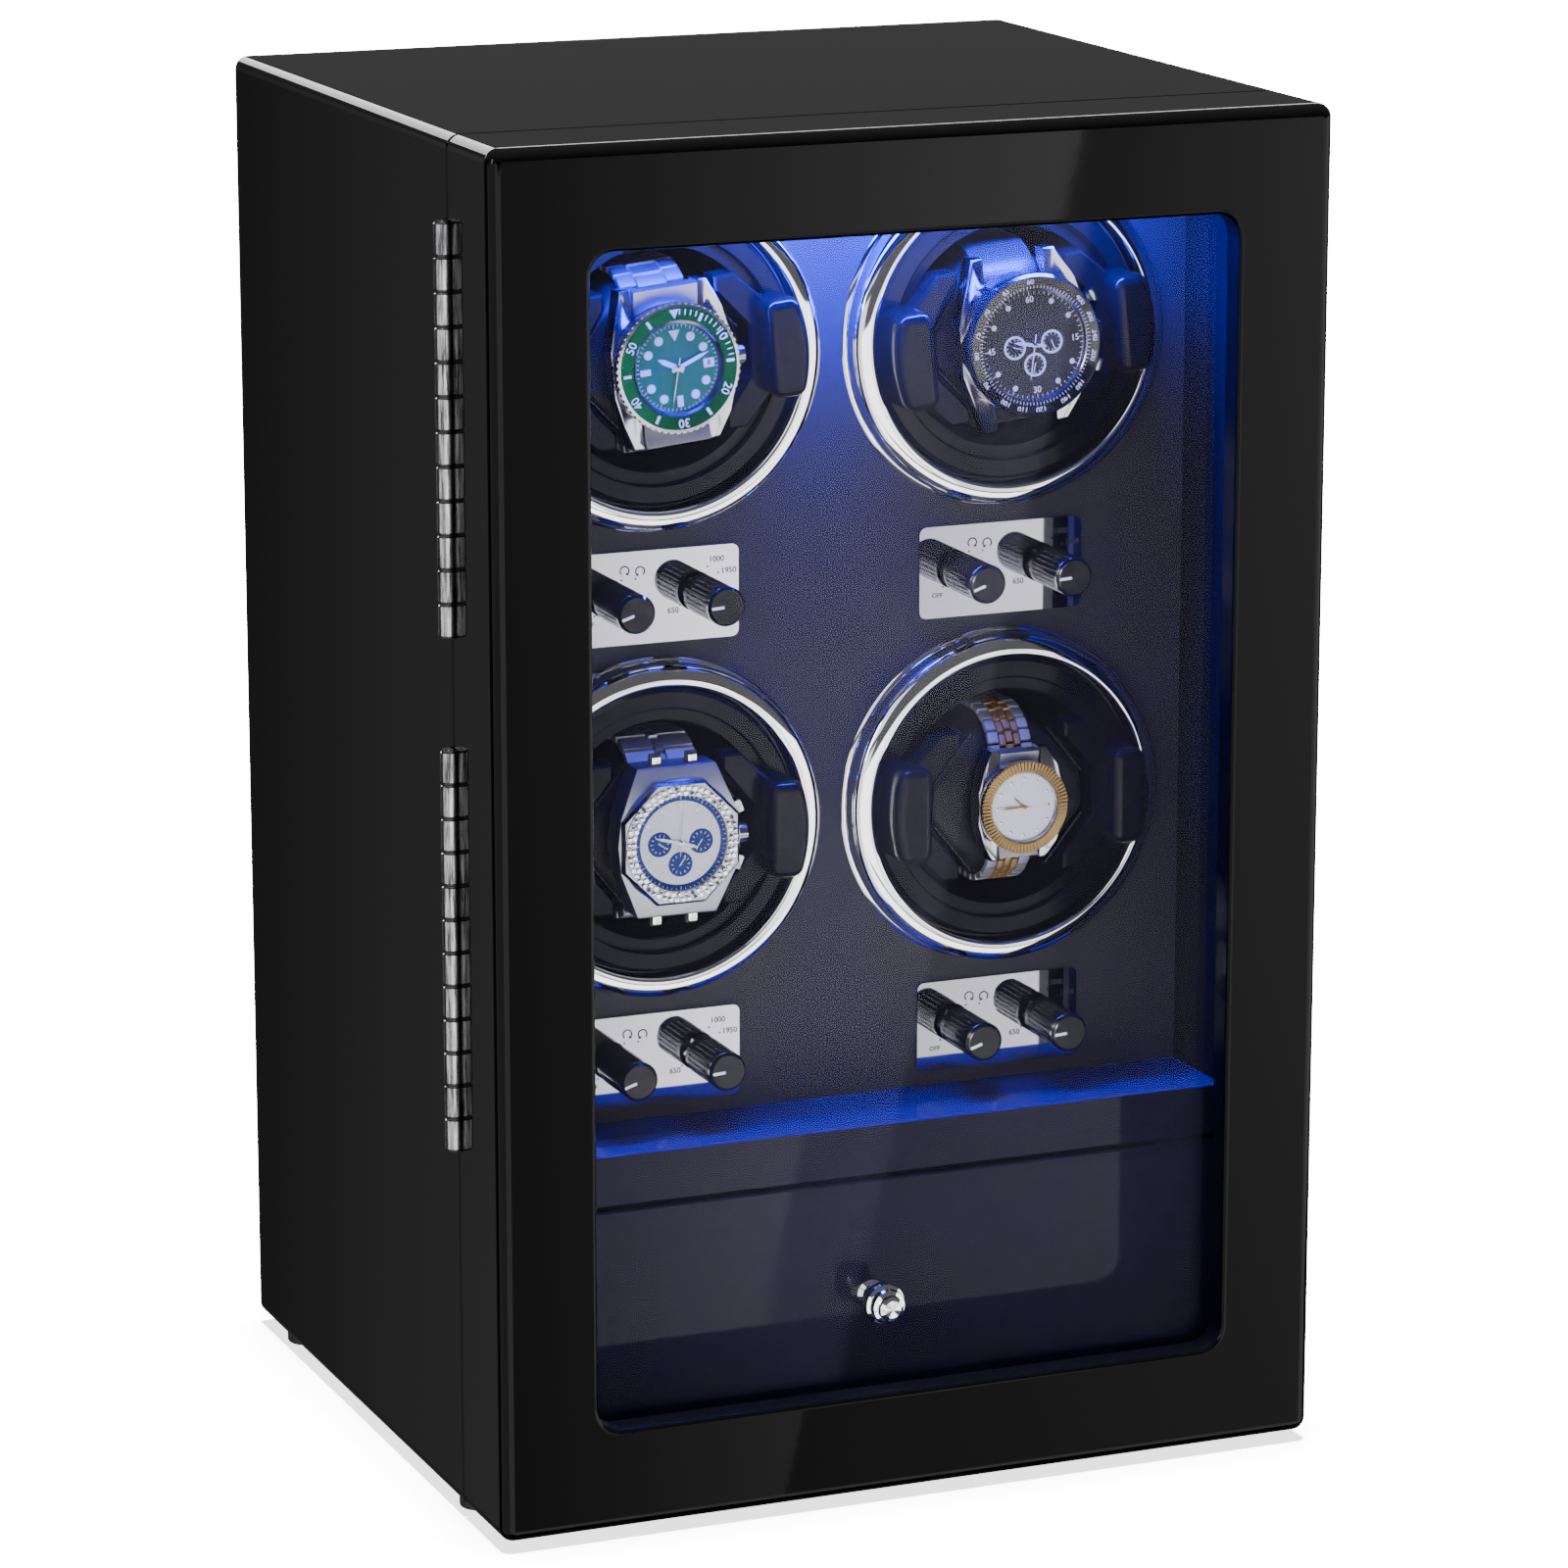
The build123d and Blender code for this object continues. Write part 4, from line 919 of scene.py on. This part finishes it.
def pinch(obj, band_width):
    """Presses the cushion in under the band and gathers the leather in folds towards its ends."""
    half = CUSHION_SIZE[0] / 2
    rng = random.Random(7)
    waves = [
        (rng.uniform(6, 15), rng.uniform(0, 6.28), rng.uniform(0.05, 0.13)) for _ in range(FOLD_WAVES)
    ]
    for v in obj.data.vertices:
        x = v.co.x / MM
        r = math.hypot(v.co.y, v.co.z) / MM
        if r < 1e-3:
            continue
        angle = math.atan2(v.co.z, v.co.y)
        t = between(abs(x), band_width / 2, BAND_EDGE)
        t *= t * (3 - 2 * t)
        under, free = (surface_radius(x, angle, grow) for grow in (UNDER_BAND, FREE_SWELL))
        limit = under + (free - under) * t
        fold = sum(a * math.sin(f * angle + p + math.copysign(1, x)) for f, p, a in waves)
        near_end = between(abs(x), half * 0.45, half * 0.4)
        target = min(r, limit) + fold * t * (0.3 + near_end)
        v.co.y *= target / r
        v.co.z *= target / r
        v.co.x = math.copysign(min(abs(x), half - 0.2), x) * MM


STITCHES = 9
STITCH_PITCH = 1.35
STITCH_SIZE = (1.5, 0.4, 0.4)


def stitches(name):
    """A row of thread across each slanting corner's front."""
    shape = Shape(name)
    for side in (-1, 1):
        for end in (-1, 1):
            lean = spin(side * end * math.atan(CORNER_SLOPE), "Y")
            for n in range(STITCHES):
                x = CORNER_X + 2.2 + n * STITCH_PITCH
                z = CUSHION_SIZE[2] / 2 - (x - CORNER_X) * CORNER_SLOPE - 2.0
                place = shift(side * x, -CUSHION_SIZE[1] / 2 + 0.35, end * z)
                shape.block(STITCH_SIZE, place @ lean, "thread", 0.1)
    return shape


def add_cushions():
    """Copies one filled cushion to the four rotors, each pressed in by its watch's band."""
    source = inflate(cushion_base())
    for k in range(1, 5):
        obj = new_object(f"watch_cushion_{k}", source.data.copy())
        pinch(obj, WATCHES[k - 1]["band"])
        obj.data.materials.clear()
        obj.data.materials.append(M["cushion_leather"])
        obj.data.polygons.foreach_set("use_smooth", [True] * len(obj.data.polygons))
        smooth = obj.modifiers.new("smooth", "SUBSURF")
        smooth.levels = 1
        smooth.render_levels = 1
        centre = rotor_matrix(k) @ shift(0, (CUSHION_FRONT + CUSHION_SIZE[1] / 2) * MM, 0)
        obj.matrix_world = centre
        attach(obj, f"held_watch_{k}")
        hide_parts(f"cushion_{k}")
        thread = stitches(f"cushion_stitches_{k}")
        thread.make(centre, f"held_watch_{k}")
    bpy.data.objects.remove(source)


# ---- watches ----
# radius and front as in the CAD model: millimetres, y from the leather's face
WATCHES = (
    {"radius": 18.9, "front": -22.0, "band": 20.0},
    {"radius": 21.2, "front": -25.0, "band": 20.0},
    {"radius": 19.4, "front": -23.0, "band": 24.0},
    {"radius": 14.0, "front": -21.0, "band": 14.0},
)
CASE_BACK = CUSHION_FRONT - BAND_CLEAR - 2.4
TRACK_STEPS = 720


def loop_track(grow, count, gap):
    """Evenly spaced places round the cushion's section, leaving out the stretch behind the case."""
    mid = CUSHION_FRONT + CUSHION_SIZE[1] / 2
    fine = []
    for n in range(TRACK_STEPS + 1):
        angle = math.pi + 2 * math.pi * n / TRACK_STEPS
        r = loop_radius(angle, grow)
        fine.append(Vector((0, mid + r * math.cos(angle), r * math.sin(angle))))
    lengths = [0.0]
    for a, b in zip(fine, fine[1:]):
        lengths.append(lengths[-1] + (b - a).length)
    total = lengths[-1]
    places = []
    for i in range(count):
        want = gap + (total - 2 * gap) * (i + 0.5) / count
        n = next(m for m in range(len(lengths)) if lengths[m] >= want)
        tangent = (fine[min(n + 1, TRACK_STEPS)] - fine[n - 1]).normalized()
        places.append((fine[n], math.atan2(tangent.z, tangent.y)))
    return places, (total - 2 * gap) / count


LINK_GAPS = (0.35, 0.6)  # between links side by side, and one after another


def bracelet(shape, widths, mats, gap, thick=2.0, count=26):
    """Rows of rounded links round the cushion: widths and materials from left to right."""
    places, pitch = loop_track(BAND_CLEAR + thick / 2 + 0.1, count, gap)
    for at, slope in places:
        left = -sum(widths) / 2
        for i, (width, mat) in enumerate(zip(widths, mats)):
            x = left + width / 2
            left += width
            ahead = pitch / 4 if i % 2 else 0.0
            place = shift(x, at.y, at.z) @ spin(slope, "X") @ shift(0, ahead, 0)
            size = (width - LINK_GAPS[0], pitch - LINK_GAPS[1], thick)
            shape.block(size, place, mat, 0.4)


def strap(shape, width, mat, gap, thick=2.0, count=60):
    """A continuous padded strap, built as close overlapping slices."""
    places, pitch = loop_track(BAND_CLEAR + thick / 2 + 0.1, count, gap)
    for at, slope in places:
        place = shift(0, at.y, at.z) @ spin(slope, "X")
        shape.block((width, pitch * 1.25, thick), place, mat, 0.3)


def watch_case(shape, radius, front, mat):
    """The case's round middle and its back."""
    back = CASE_BACK
    profile = [
        (0, back), (radius - 3.0, back), (radius - 0.6, back - 2.2), (radius, back - 3.2),
        (radius, front + 3.0), (radius - 0.5, front + 2.4), (0, front + 2.4),
    ]
    shape.lathe(profile, mat, closed=False)


LUG_DEPTH = 6.5


def lug_bars(shape, radius, band, tip, mat, lug=3.2):
    """The case's two flanks, each ending in a pair of lugs that bend back towards the wrist."""
    inner = band / 2 + 0.2
    outer = inner + lug
    wide = radius * 0.985
    half = [
        (inner, tip), (outer, tip), (outer + (wide - outer) * 0.55, radius * 0.82),
        (wide, radius * 0.36),
    ]
    outline = half + [(x, -z) for x, z in reversed(half)]
    for side in (-1, 1):
        points = [(side * x, z) for x, z in outline]
        shape.prism(points, CASE_BACK - LUG_DEPTH, CASE_BACK - 0.3, mat, round_by=0.6,
                    bend=radius * 0.55)


def end_links(shape, radius, band, tip, mat):
    """The links that fill the space between each pair of lugs."""
    start = radius * 0.72
    for end in (-1, 1):
        place = shift(0, CASE_BACK - 2.6, end * (start + tip) / 2)
        lean = spin(end * math.radians(14), "X")
        shape.block((band - 0.3, 3.4, tip - start + 1.6), place @ lean, mat, 0.4)


def disc(shape, radius, y, mat, thick=0.6, at=(0, 0), steps=96):
    """A flat round plate with its face at y."""
    profile = [(0, y), (radius, y), (radius, y + thick), (0, y + thick)]
    shape.lathe(profile, mat, at=at, steps=steps, closed=False)


def ring(shape, radii, depths, mat, at=(0, 0), steps=96):
    """A ring: its inner and outer radius; the depths of its inner edge, outer edge and back."""
    inner, outer = radii
    y_inner, y_outer, y_back = depths
    profile = [(inner, y_inner), (outer, y_outer), (outer, y_back), (inner, y_back)]
    shape.lathe(profile, mat, at=at, steps=steps)


def stud(shape, y, top, shoulder, foot, mat, at=(0, 0), steps=24):
    """A round boss on a face at y: its height, its shoulder's radius and height, its foot's radius."""
    radius, height = shoulder
    profile = [(0, y - top), (radius, y - height), (foot, y)]
    shape.lathe(profile, mat, at=at, steps=steps, closed=False)


def mark(shape, size, turns, radius, y0, y1, mat, round_by=0.0):
    """A bar of (width, length) at a clock place, pointing to the dial's centre."""
    shape.prism(rectangle(*size), y0, y1, mat, clock(turns, radius), turns, round_by)


HAND_THICK = 0.12


def hand(shape, turns, length, width, y, mat, tail=2.0):
    """A watch hand with a pointed end."""
    side = width / 2
    outline = [
        (-side, -tail), (side, -tail), (side, length * 0.72), (0, length), (-side, length * 0.72)
    ]
    shape.prism(outline, y, y - HAND_THICK, mat, turns=turns)


DATE_AT = 0.25  # three o'clock


def date_window(shape, size, text_size, radius, y, depth):
    """A white window at three o'clock with a day's number in it."""
    at = clock(DATE_AT, radius)
    shape.prism(rectangle(*size), y, y - depth, "white_print", at=at)
    put_text(shape, "8", text_size, at, y - depth - 0.01, "dark_print_and_painted_shade")


def add_crystal(k, spec):
    """The clear domed disc over a dial, its own piece so that light passes it."""
    radius = spec["radius"] * 0.735
    y = spec["front"] + 0.5
    shape = Shape(f"watch_crystal_{k}")
    dome = [(0, y - 0.25), (radius * 0.7, y - 0.15), (radius, y + 0.05), (radius, y + 0.9), (0, y + 0.9)]
    shape.lathe(dome, "watch_crystal", closed=False)
    obj = shape.make(rotor_matrix(k), f"held_watch_{k}")
    obj.visible_shadow = False


def subdial(shape, at, radius, y, face, rim, hand_mat, turns):
    """A small dial with twelve ticks and one hand."""
    disc(shape, radius, y - 0.06, face, 0.06, at, 48)
    ring(shape, (radius * 0.80, radius), (y - 0.08, y - 0.08, y - 0.16), rim, at, 48)
    for n in range(12):
        x, z = clock(n / 12, radius * 0.70)
        shape.prism(rectangle(0.18, 0.7), y - 0.07, y - 0.12, hand_mat, (at[0] + x, at[1] + z), n / 12)
    outline = [(-0.16, -0.6), (0.16, -0.6), (0.10, radius * 0.75), (-0.10, radius * 0.75)]
    shape.prism(outline, y - 0.2, y - 0.3, hand_mat, at, turns)


def minute_ticks(shape, radius, y, mat, long=1.2, short=0.7, width=0.16):
    """Sixty ticks that end at a radius, every fifth one long."""
    for n in range(60):
        size = short if n % 5 else long
        mark(shape, (width, size), n / 60, radius - size / 2, y, y - 0.05, mat)


def crown(shape, x, y, mat, radius=2.6, length=3.4, teeth=18):
    """A fluted winding crown on the case's right side."""
    reach = radius * 0.86
    for n in range(teeth):
        turn = 2 * math.pi * n / teeth
        place = shift(x, y + math.cos(turn) * reach, math.sin(turn) * reach) @ spin(turn, "X")
        shape.block((length, radius * 0.42, radius * 0.28), place, mat, 0.08)
    for degrees in (0, 45):
        place = shift(x, y, 0) @ spin(math.radians(degrees), "X")
        shape.block((length + 0.3, radius * 1.35, radius * 1.35), place, mat, 0.3)


def pusher_places(x, y, z, lean):
    """The places of the two buttons below and above the crown, leaning away from it."""
    return [shift(x, y, end * z) @ spin(-end * lean, "Y") for end in (-1, 1)]


def dive_watch(shape, spec):
    """Steel watch with a green bezel and a green dial."""
    r, f = spec["radius"], spec["front"]
    watch_case(shape, r - 0.8, f, "steel")
    lug_bars(shape, r, spec["band"], r + 4.4, "steel")
    end_links(shape, r, spec["band"], r + 3.6, "brushed_steel")
    ring(shape, (r - 1.2, r - 0.4), (f + 0.5, f + 0.6, f + 3.0), "steel")
    for n in range(60):
        mark(shape, (1.1, 0.9), n / 60, r - 0.4, f + 0.7, f + 2.9, "steel", 0.15)
    ring(shape, (r - 5.0, r - 1.2), (f + 0.45, f + 0.25, f + 1.5), "green_ring")
    for minutes in range(5, 60, 5):
        turns = minutes / 60
        if minutes % 10:
            mark(shape, (0.9, 2.4), turns, r - 3.1, f + 0.40, f + 0.22, "white_print")
        else:
            put_text(shape, str(minutes), 3.6, clock(turns, r - 3.1), f + 0.28, "white_print", turns)
    for n in range(1, 15):
        if n % 5:
            mark(shape, (0.35, 1.6), n / 60, r - 2.6, f + 0.40, f + 0.24, "white_print")
    triangle = [(-1.5, 1.2), (1.5, 1.2), (0, -1.4)]
    shape.prism(triangle, f + 0.40, f + 0.20, "lume", at=clock(0, r - 3.0))
    d = r - 5.2
    y = f + 2.0
    ring(shape, (d - 1.2, d + 0.4), (f + 1.9, f + 0.5, f + 2.1), "steel")
    disc(shape, d, y, "green_dial")
    minute_ticks(shape, d - 1.2, y, "lume")
    for n in range(1, 12):
        if n % 3:
            stud(shape, y, 0.25, (1.15, 0.25), 1.35, "lume", clock(n / 12, d - 4.0))
        elif n != 3:
            mark(shape, (1.8, 3.2), n / 12, d - 4.0, y, y - 0.25, "lume", 0.1)
    triangle = [(-1.7, 1.4), (1.7, 1.4), (0, -1.8)]
    shape.prism(triangle, y, y - 0.25, "lume", at=clock(0, d - 4.2), round_by=0.1)
    date_window(shape, (3.2, 2.6), 2.2, d - 4.0, y, 0.12)
    hand(shape, 0.83, 6.8, 1.5, y - 0.5, "lume")
    hand(shape, 0.195, 10.4, 1.1, y - 0.8, "lume")
    hand(shape, 0.54, 11.0, 0.3, y - 1.05, "steel", tail=3.0)
    stud(shape, y, 1.3, (0.9, 1.2), 0.9, "steel")
    crown(shape, r + 1.2, CASE_BACK - 4.5, "steel")
    bracelet(shape, (5.5, 9.0, 5.5), ("satin_steel",) * 3, 17.5)


SPEEDS = (
    (60, 0.0), (400, 0.15), (300, 0.2), (240, 0.25), (200, 0.3), (160, 0.38), (140, 0.43), (120, 0.5),
    (110, 0.55), (100, 0.6), (90, 0.67), (80, 0.75), (75, 0.8), (70, 0.86), (65, 0.93),
)


def racing_chronograph(shape, spec):
    """Steel and black watch with three sub-dials and a speed scale, on a leather strap."""
    r, f = spec["radius"], spec["front"]
    watch_case(shape, r - 0.6, f, "steel")
    lug_bars(shape, r - 0.4, 19.0, r + 4.6, "steel", 3.6)
    bezel = [(r - 4.4, f + 0.5), (r - 0.9, f), (r - 0.1, f + 0.9), (r - 0.1, f + 2.6), (r - 4.4, f + 2.6)]
    shape.lathe(bezel, "black_ring")
    for speed, turns in SPEEDS:
        put_text(shape, str(speed), 2.3, clock(turns, r - 2.3), f + 0.15, "white_print", turns)
    for n in range(100):
        mark(shape, (0.16, 0.8), n / 100, r - 4.0, f + 0.45, f + 0.32, "white_print")
    d = r - 4.6
    y = f + 2.1
    ring(shape, (d - 0.9, d + 0.3), (f + 1.9, f + 0.6, f + 2.2), "steel")
    disc(shape, d, y, "black_dial")
    minute_ticks(shape, d - 0.9, y, "white_print")
    for label, turns in (("60", 0.0), ("15", 0.25), ("30", 0.5), ("45", 0.75)):
        put_text(shape, label, 2.6, clock(turns, d - 3.2), y - 0.1, "white_print")
    for n in range(12):
        if n % 3:
            stud(shape, y, 0.25, (0.75, 0.2), 0.85, "lume", clock(n / 12, d - 2.9), 20)
    for turns, shown in ((0.25, 0.45), (0.5, 0.55), (0.75, 0.3)):
        subdial(shape, clock(turns, 5.9), 3.5, y, "black_dial", "lume", "white_print", shown)
    hand(shape, 0.79, 6.6, 1.0, y - 0.6, "lume")
    hand(shape, 0.28, 4.0, 0.9, y - 0.85, "lume")
    hand(shape, 0.535, 10.6, 0.35, y - 1.1, "white_print", tail=3.2)
    stud(shape, y, 1.35, (0.8, 1.2), 0.8, "steel")
    side = CASE_BACK - 5.0
    crown(shape, r + 1.2, side, "steel")
    for place in pusher_places(r - 0.6, side, 9.5, 0.42):
        shape.block((5.0, 3.0, 3.0), place, "steel", 0.5)
        shape.block((1.6, 3.9, 3.9), place @ shift(2.4, 0, 0), "steel", 0.4)
    strap(shape, 18.5, "watch_strap", 17.5)


def sport_chronograph(shape, spec):
    """Steel watch with an eight-sided, stone-set bezel, a white dial and blue sub-dials."""
    r, f = spec["radius"], spec["front"]
    watch_case(shape, r - 0.8, f, "brushed_steel")
    half = [(12.2, r + 3.0), (r - 1.2, r * 0.42), (r - 0.4, 0.0), (r - 1.2, -r * 0.42), (12.2, -r - 3.0)]
    barrel = half + [(-x, z) for x, z in reversed(half)]
    shape.prism(barrel, f + 2.4, CASE_BACK - 0.3, "brushed_steel", round_by=0.7, bend=r * 0.6)
    edge = r + 0.3
    bezel = [(r - 3.2, f + 0.8), (r - 0.6, f + 0.7), (edge, f + 1.6), (edge, f + 3.4), (r - 3.2, f + 3.4)]
    shape.lathe(bezel, "steel", steps=8, start=math.pi / 8)
    seat = [(r - 5.4, f + 1.2), (r - 5.1, f + 0.4), (r - 2.0, f + 0.4), (r - 1.8, f + 1.2)]
    shape.lathe(seat, "steel")
    rng = random.Random(11)
    for row, (radius, count) in enumerate(((r - 2.8, 54), (r - 4.3, 48))):
        for n in range(count):
            x, z = clock((n + row / 2) / count, radius)
            place = shift(x, f + 0.15, z) @ spin(rng.uniform(0, 1.5), "Y")
            place = place @ spin(rng.uniform(-0.5, 0.5), "X")
            shape.block((1.15, 0.9, 1.15), place, "bezel_stones", 0.36)
    d = r - 5.3
    y = f + 2.0
    ring(shape, (d - 1.6, d), (y - 0.05, y - 0.4, y), "blue_dial")
    disc(shape, d, y, "white_dial")
    minute_ticks(shape, d - 0.1, y - 0.36, "white_print", 1.0, 0.5)
    for n in range(12):
        if n % 3 or n == 0:
            mark(shape, (0.8, 2.4), n / 12, d - 3.2, y, y - 0.22, "steel", 0.1)
    for turns, shown in ((0.25, 0.6), (0.5, 0.1), (0.75, 0.35)):
        subdial(shape, clock(turns, 6.4), 3.7, y, "blue_dial", "blue_dial", "white_print", shown)
    hand(shape, 0.30, 5.6, 1.0, y - 0.6, "steel")
    hand(shape, 0.79, 8.6, 0.9, y - 0.85, "steel")
    hand(shape, 0.02, 10.4, 0.3, y - 1.1, "steel", tail=3.0)
    stud(shape, y, 1.35, (0.8, 1.2), 0.8, "steel")
    side = CASE_BACK - 5.0
    crown(shape, r + 1.0, side, "steel")
    for place in pusher_places(r - 0.8, side, 8.0, 0.38):
        shape.block((4.4, 3.4, 4.2), place, "steel", 0.6)
    for end in (-1, 1):
        for x in (-5.6, 5.6):
            for z, size in ((r + 1.2, 3.0), (r + 4.4, 2.4)):
                shape.block((2.6, 2.2, size), shift(x, CASE_BACK - 4.4, end * z), "chrome", 0.4)
            place = shift(x, CASE_BACK - 3.9, end * (r + 2.8))
            shape.block((3.6, 1.0, 7.0), place, "dark_print_and_painted_shade", 0.2)
    bracelet(shape, (9.5, 3.0, 9.5), ("satin_steel",) * 3, 20.0, count=22)


FLUTES = 72


def dress_watch(shape, spec):
    """Small two-tone watch with a fluted gold bezel and a silver dial."""
    r, f = spec["radius"], spec["front"]
    watch_case(shape, r - 0.4, f, "steel")
    lug_bars(shape, r, spec["band"] - 1.0, r + 2.8, "steel", 2.4)
    end_links(shape, r, spec["band"] - 1.0, r + 1.6, "brushed_steel")
    flute = [(-0.34, -1.45), (0.34, -1.45), (0.42, 1.35), (-0.42, 1.35)]
    for n in range(FLUTES):
        turns = n / FLUTES
        shape.prism(flute, f + 0.15, f + 1.8, "gold", clock(turns, r - 1.5), turns, 0.22)
    ring(shape, (r - 3.2, r - 0.1), (f + 0.7, f + 0.9, f + 2.2), "gold")
    d = r - 3.2
    y = f + 1.9
    ring(shape, (d - 0.6, d + 0.2), (y - 0.1, f + 0.7, y + 0.2), "steel")
    disc(shape, d, y, "silver_dial", 0.5)
    minute_ticks(shape, d - 0.7, y, "dark_print_and_painted_shade", 0.5, 0.3, 0.1)
    for n in range(12):
        if n != 3:
            stud(shape, y, 0.4, (0.36, 0.3), 0.42, "bezel_stones", clock(n / 12, d - 2.2), 16)
    date_window(shape, (2.2, 1.8), 1.5, d - 2.6, y, 0.1)
    hand(shape, 0.87, 4.8, 0.55, y - 0.4, "gold", tail=1.0)
    hand(shape, 0.745, 7.6, 0.45, y - 0.6, "gold", tail=1.2)
    hand(shape, 0.76, 8.4, 0.16, y - 0.8, "gold", tail=2.4)
    stud(shape, y, 1.0, (0.55, 0.9), 0.55, "gold", steps=20)
    crown(shape, r + 1.0, CASE_BACK - 4.0, "gold", 1.8, 2.4, 14)
    mats = ("satin_steel", "satin_gold", "satin_gold", "satin_gold", "satin_steel")
    bracelet(shape, (3.6, 2.2, 2.4, 2.2, 3.6), mats, 13.5, thick=1.8, count=36)


WATCH_MAKERS = (dive_watch, racing_chronograph, sport_chronograph, dress_watch)


def add_watches():
    """The four watches, each one piece besides its crystal."""
    for k, (build, spec) in enumerate(zip(WATCH_MAKERS, WATCHES), 1):
        shape = Shape(f"shown_watch_{k}")
        build(shape, spec)
        obj = shape.make(rotor_matrix(k), f"held_watch_{k}")
        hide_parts(f"watch_{k}")
        add_crystal(k, spec)


# ---- controls ----
def knob_matrix(k):
    """The place of a knob's front, on its axis."""
    at = joint_place(f"knob_{k}_turn")
    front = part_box(f"control_knob_{k}")[0].y
    return shift(at[0], front, at[2])


POINTER_TURN = 0.70  # where each left-hand knob points, clockwise from the top
RIGHT_POINTER_TURN = POINTER_TURN + 0.04


def add_knob_faces():
    """A turned face with a bright chamfer and a white pointer on each knob."""
    chamfer = [(4.95, -0.02), (5.80, 0.82), (5.84, 0.90), (5.84, 1.2), (5.76, 1.2), (4.95, 0.04)]
    for k in range(1, 9):
        shape = Shape(f"knob_face_{k}")
        disc(shape, 4.75, -0.02, "knob_face", 0.05)
        shape.lathe(chamfer, "chrome", steps=64)
        turns = POINTER_TURN if k % 2 else RIGHT_POINTER_TURN
        mark(shape, (0.8, 3.8), turns, 2.9, 0.0, -0.12, "pointer_paint")
        shape.make(knob_matrix(k), f"knob_{k}", sharp=25)


ARROW_R = 1.35
ARROW_WIDE = 0.2
ARROW_STEPS = 22


def arc_arrow(shape, at, start, end, y, mat):
    """An open circle of print with an arrowhead at its end, angles in turns from the top."""
    near, far = ARROW_R - ARROW_WIDE, ARROW_R + ARROW_WIDE
    for n in range(ARROW_STEPS):
        a = start + (end - start) * n / ARROW_STEPS
        b = start + (end - start) * (n + 1) / ARROW_STEPS
        quad = [clock(a, near), clock(a, far), clock(b, far), clock(b, near)]
        shape.prism(quad, y, y - PRINT_DEPTH, mat, at=at)
    tip = clock(end + math.copysign(0.09, end - start), ARROW_R)
    inner, outer = clock(end, ARROW_R - 0.62), clock(end, ARROW_R + 0.62)
    shape.prism([inner, outer, tip], y, y - PRINT_DEPTH, mat, at=at)


LEFT_DOTS = [(3.6, 5.6), (8.0, 5.6), (-4.8, -4.4)]  # printed stops, from each knob's axis
RIGHT_DOTS = [(2.6, 7.6), (6.0, 5.6), (-6.0, -3.2)]


def add_plate_print():
    """Speed numbers by the right-hand knob, and turning arrows by the left-hand one."""
    y = -0.02
    ink = "dark_print_and_painted_shade"
    for n in range(4):
        left = joint_place(f"knob_{2 * n + 1}_turn")
        right = joint_place(f"knob_{2 * n + 2}_turn")
        shape = Shape(f"plate_print_{n + 1}")
        gap = (right[0] - left[0]) / MM
        arc_arrow(shape, (4.6, 8.2), 0.62, 1.36, y, ink)
        arc_arrow(shape, (9.4, 7.8), 0.38, -0.36, y, ink)
        put_text(shape, "OFF", 2.0, (-6.6, -7.0), y, ink)
        for speed, x, z in (("1000", 5.4, 9.6), ("1950", 9.2, 6.0), ("650", -8.2, -4.6)):
            put_text(shape, speed, 2.4, (gap + x, z), y, ink)
        for at in LEFT_DOTS + [(gap + x, z) for x, z in RIGHT_DOTS]:
            stud(shape, y, PRINT_DEPTH, (0.28, PRINT_DEPTH), 0.28, ink, at, 12)
        shape.make(shift(left[0], PLATE_Y, left[2]), "cabinet")




# ---- assembly ----
add_camera()
make_materials()
finish_cad()
add_stage()
for ring_number in range(1, 5):
    made = bezel_ring(ring_number)
    if ring_number == 1:
        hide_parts("bezel_rings")
add_hinge_sleeves()
add_cushions()
add_watches()
add_knob_faces()
add_plate_print()
add_lights()
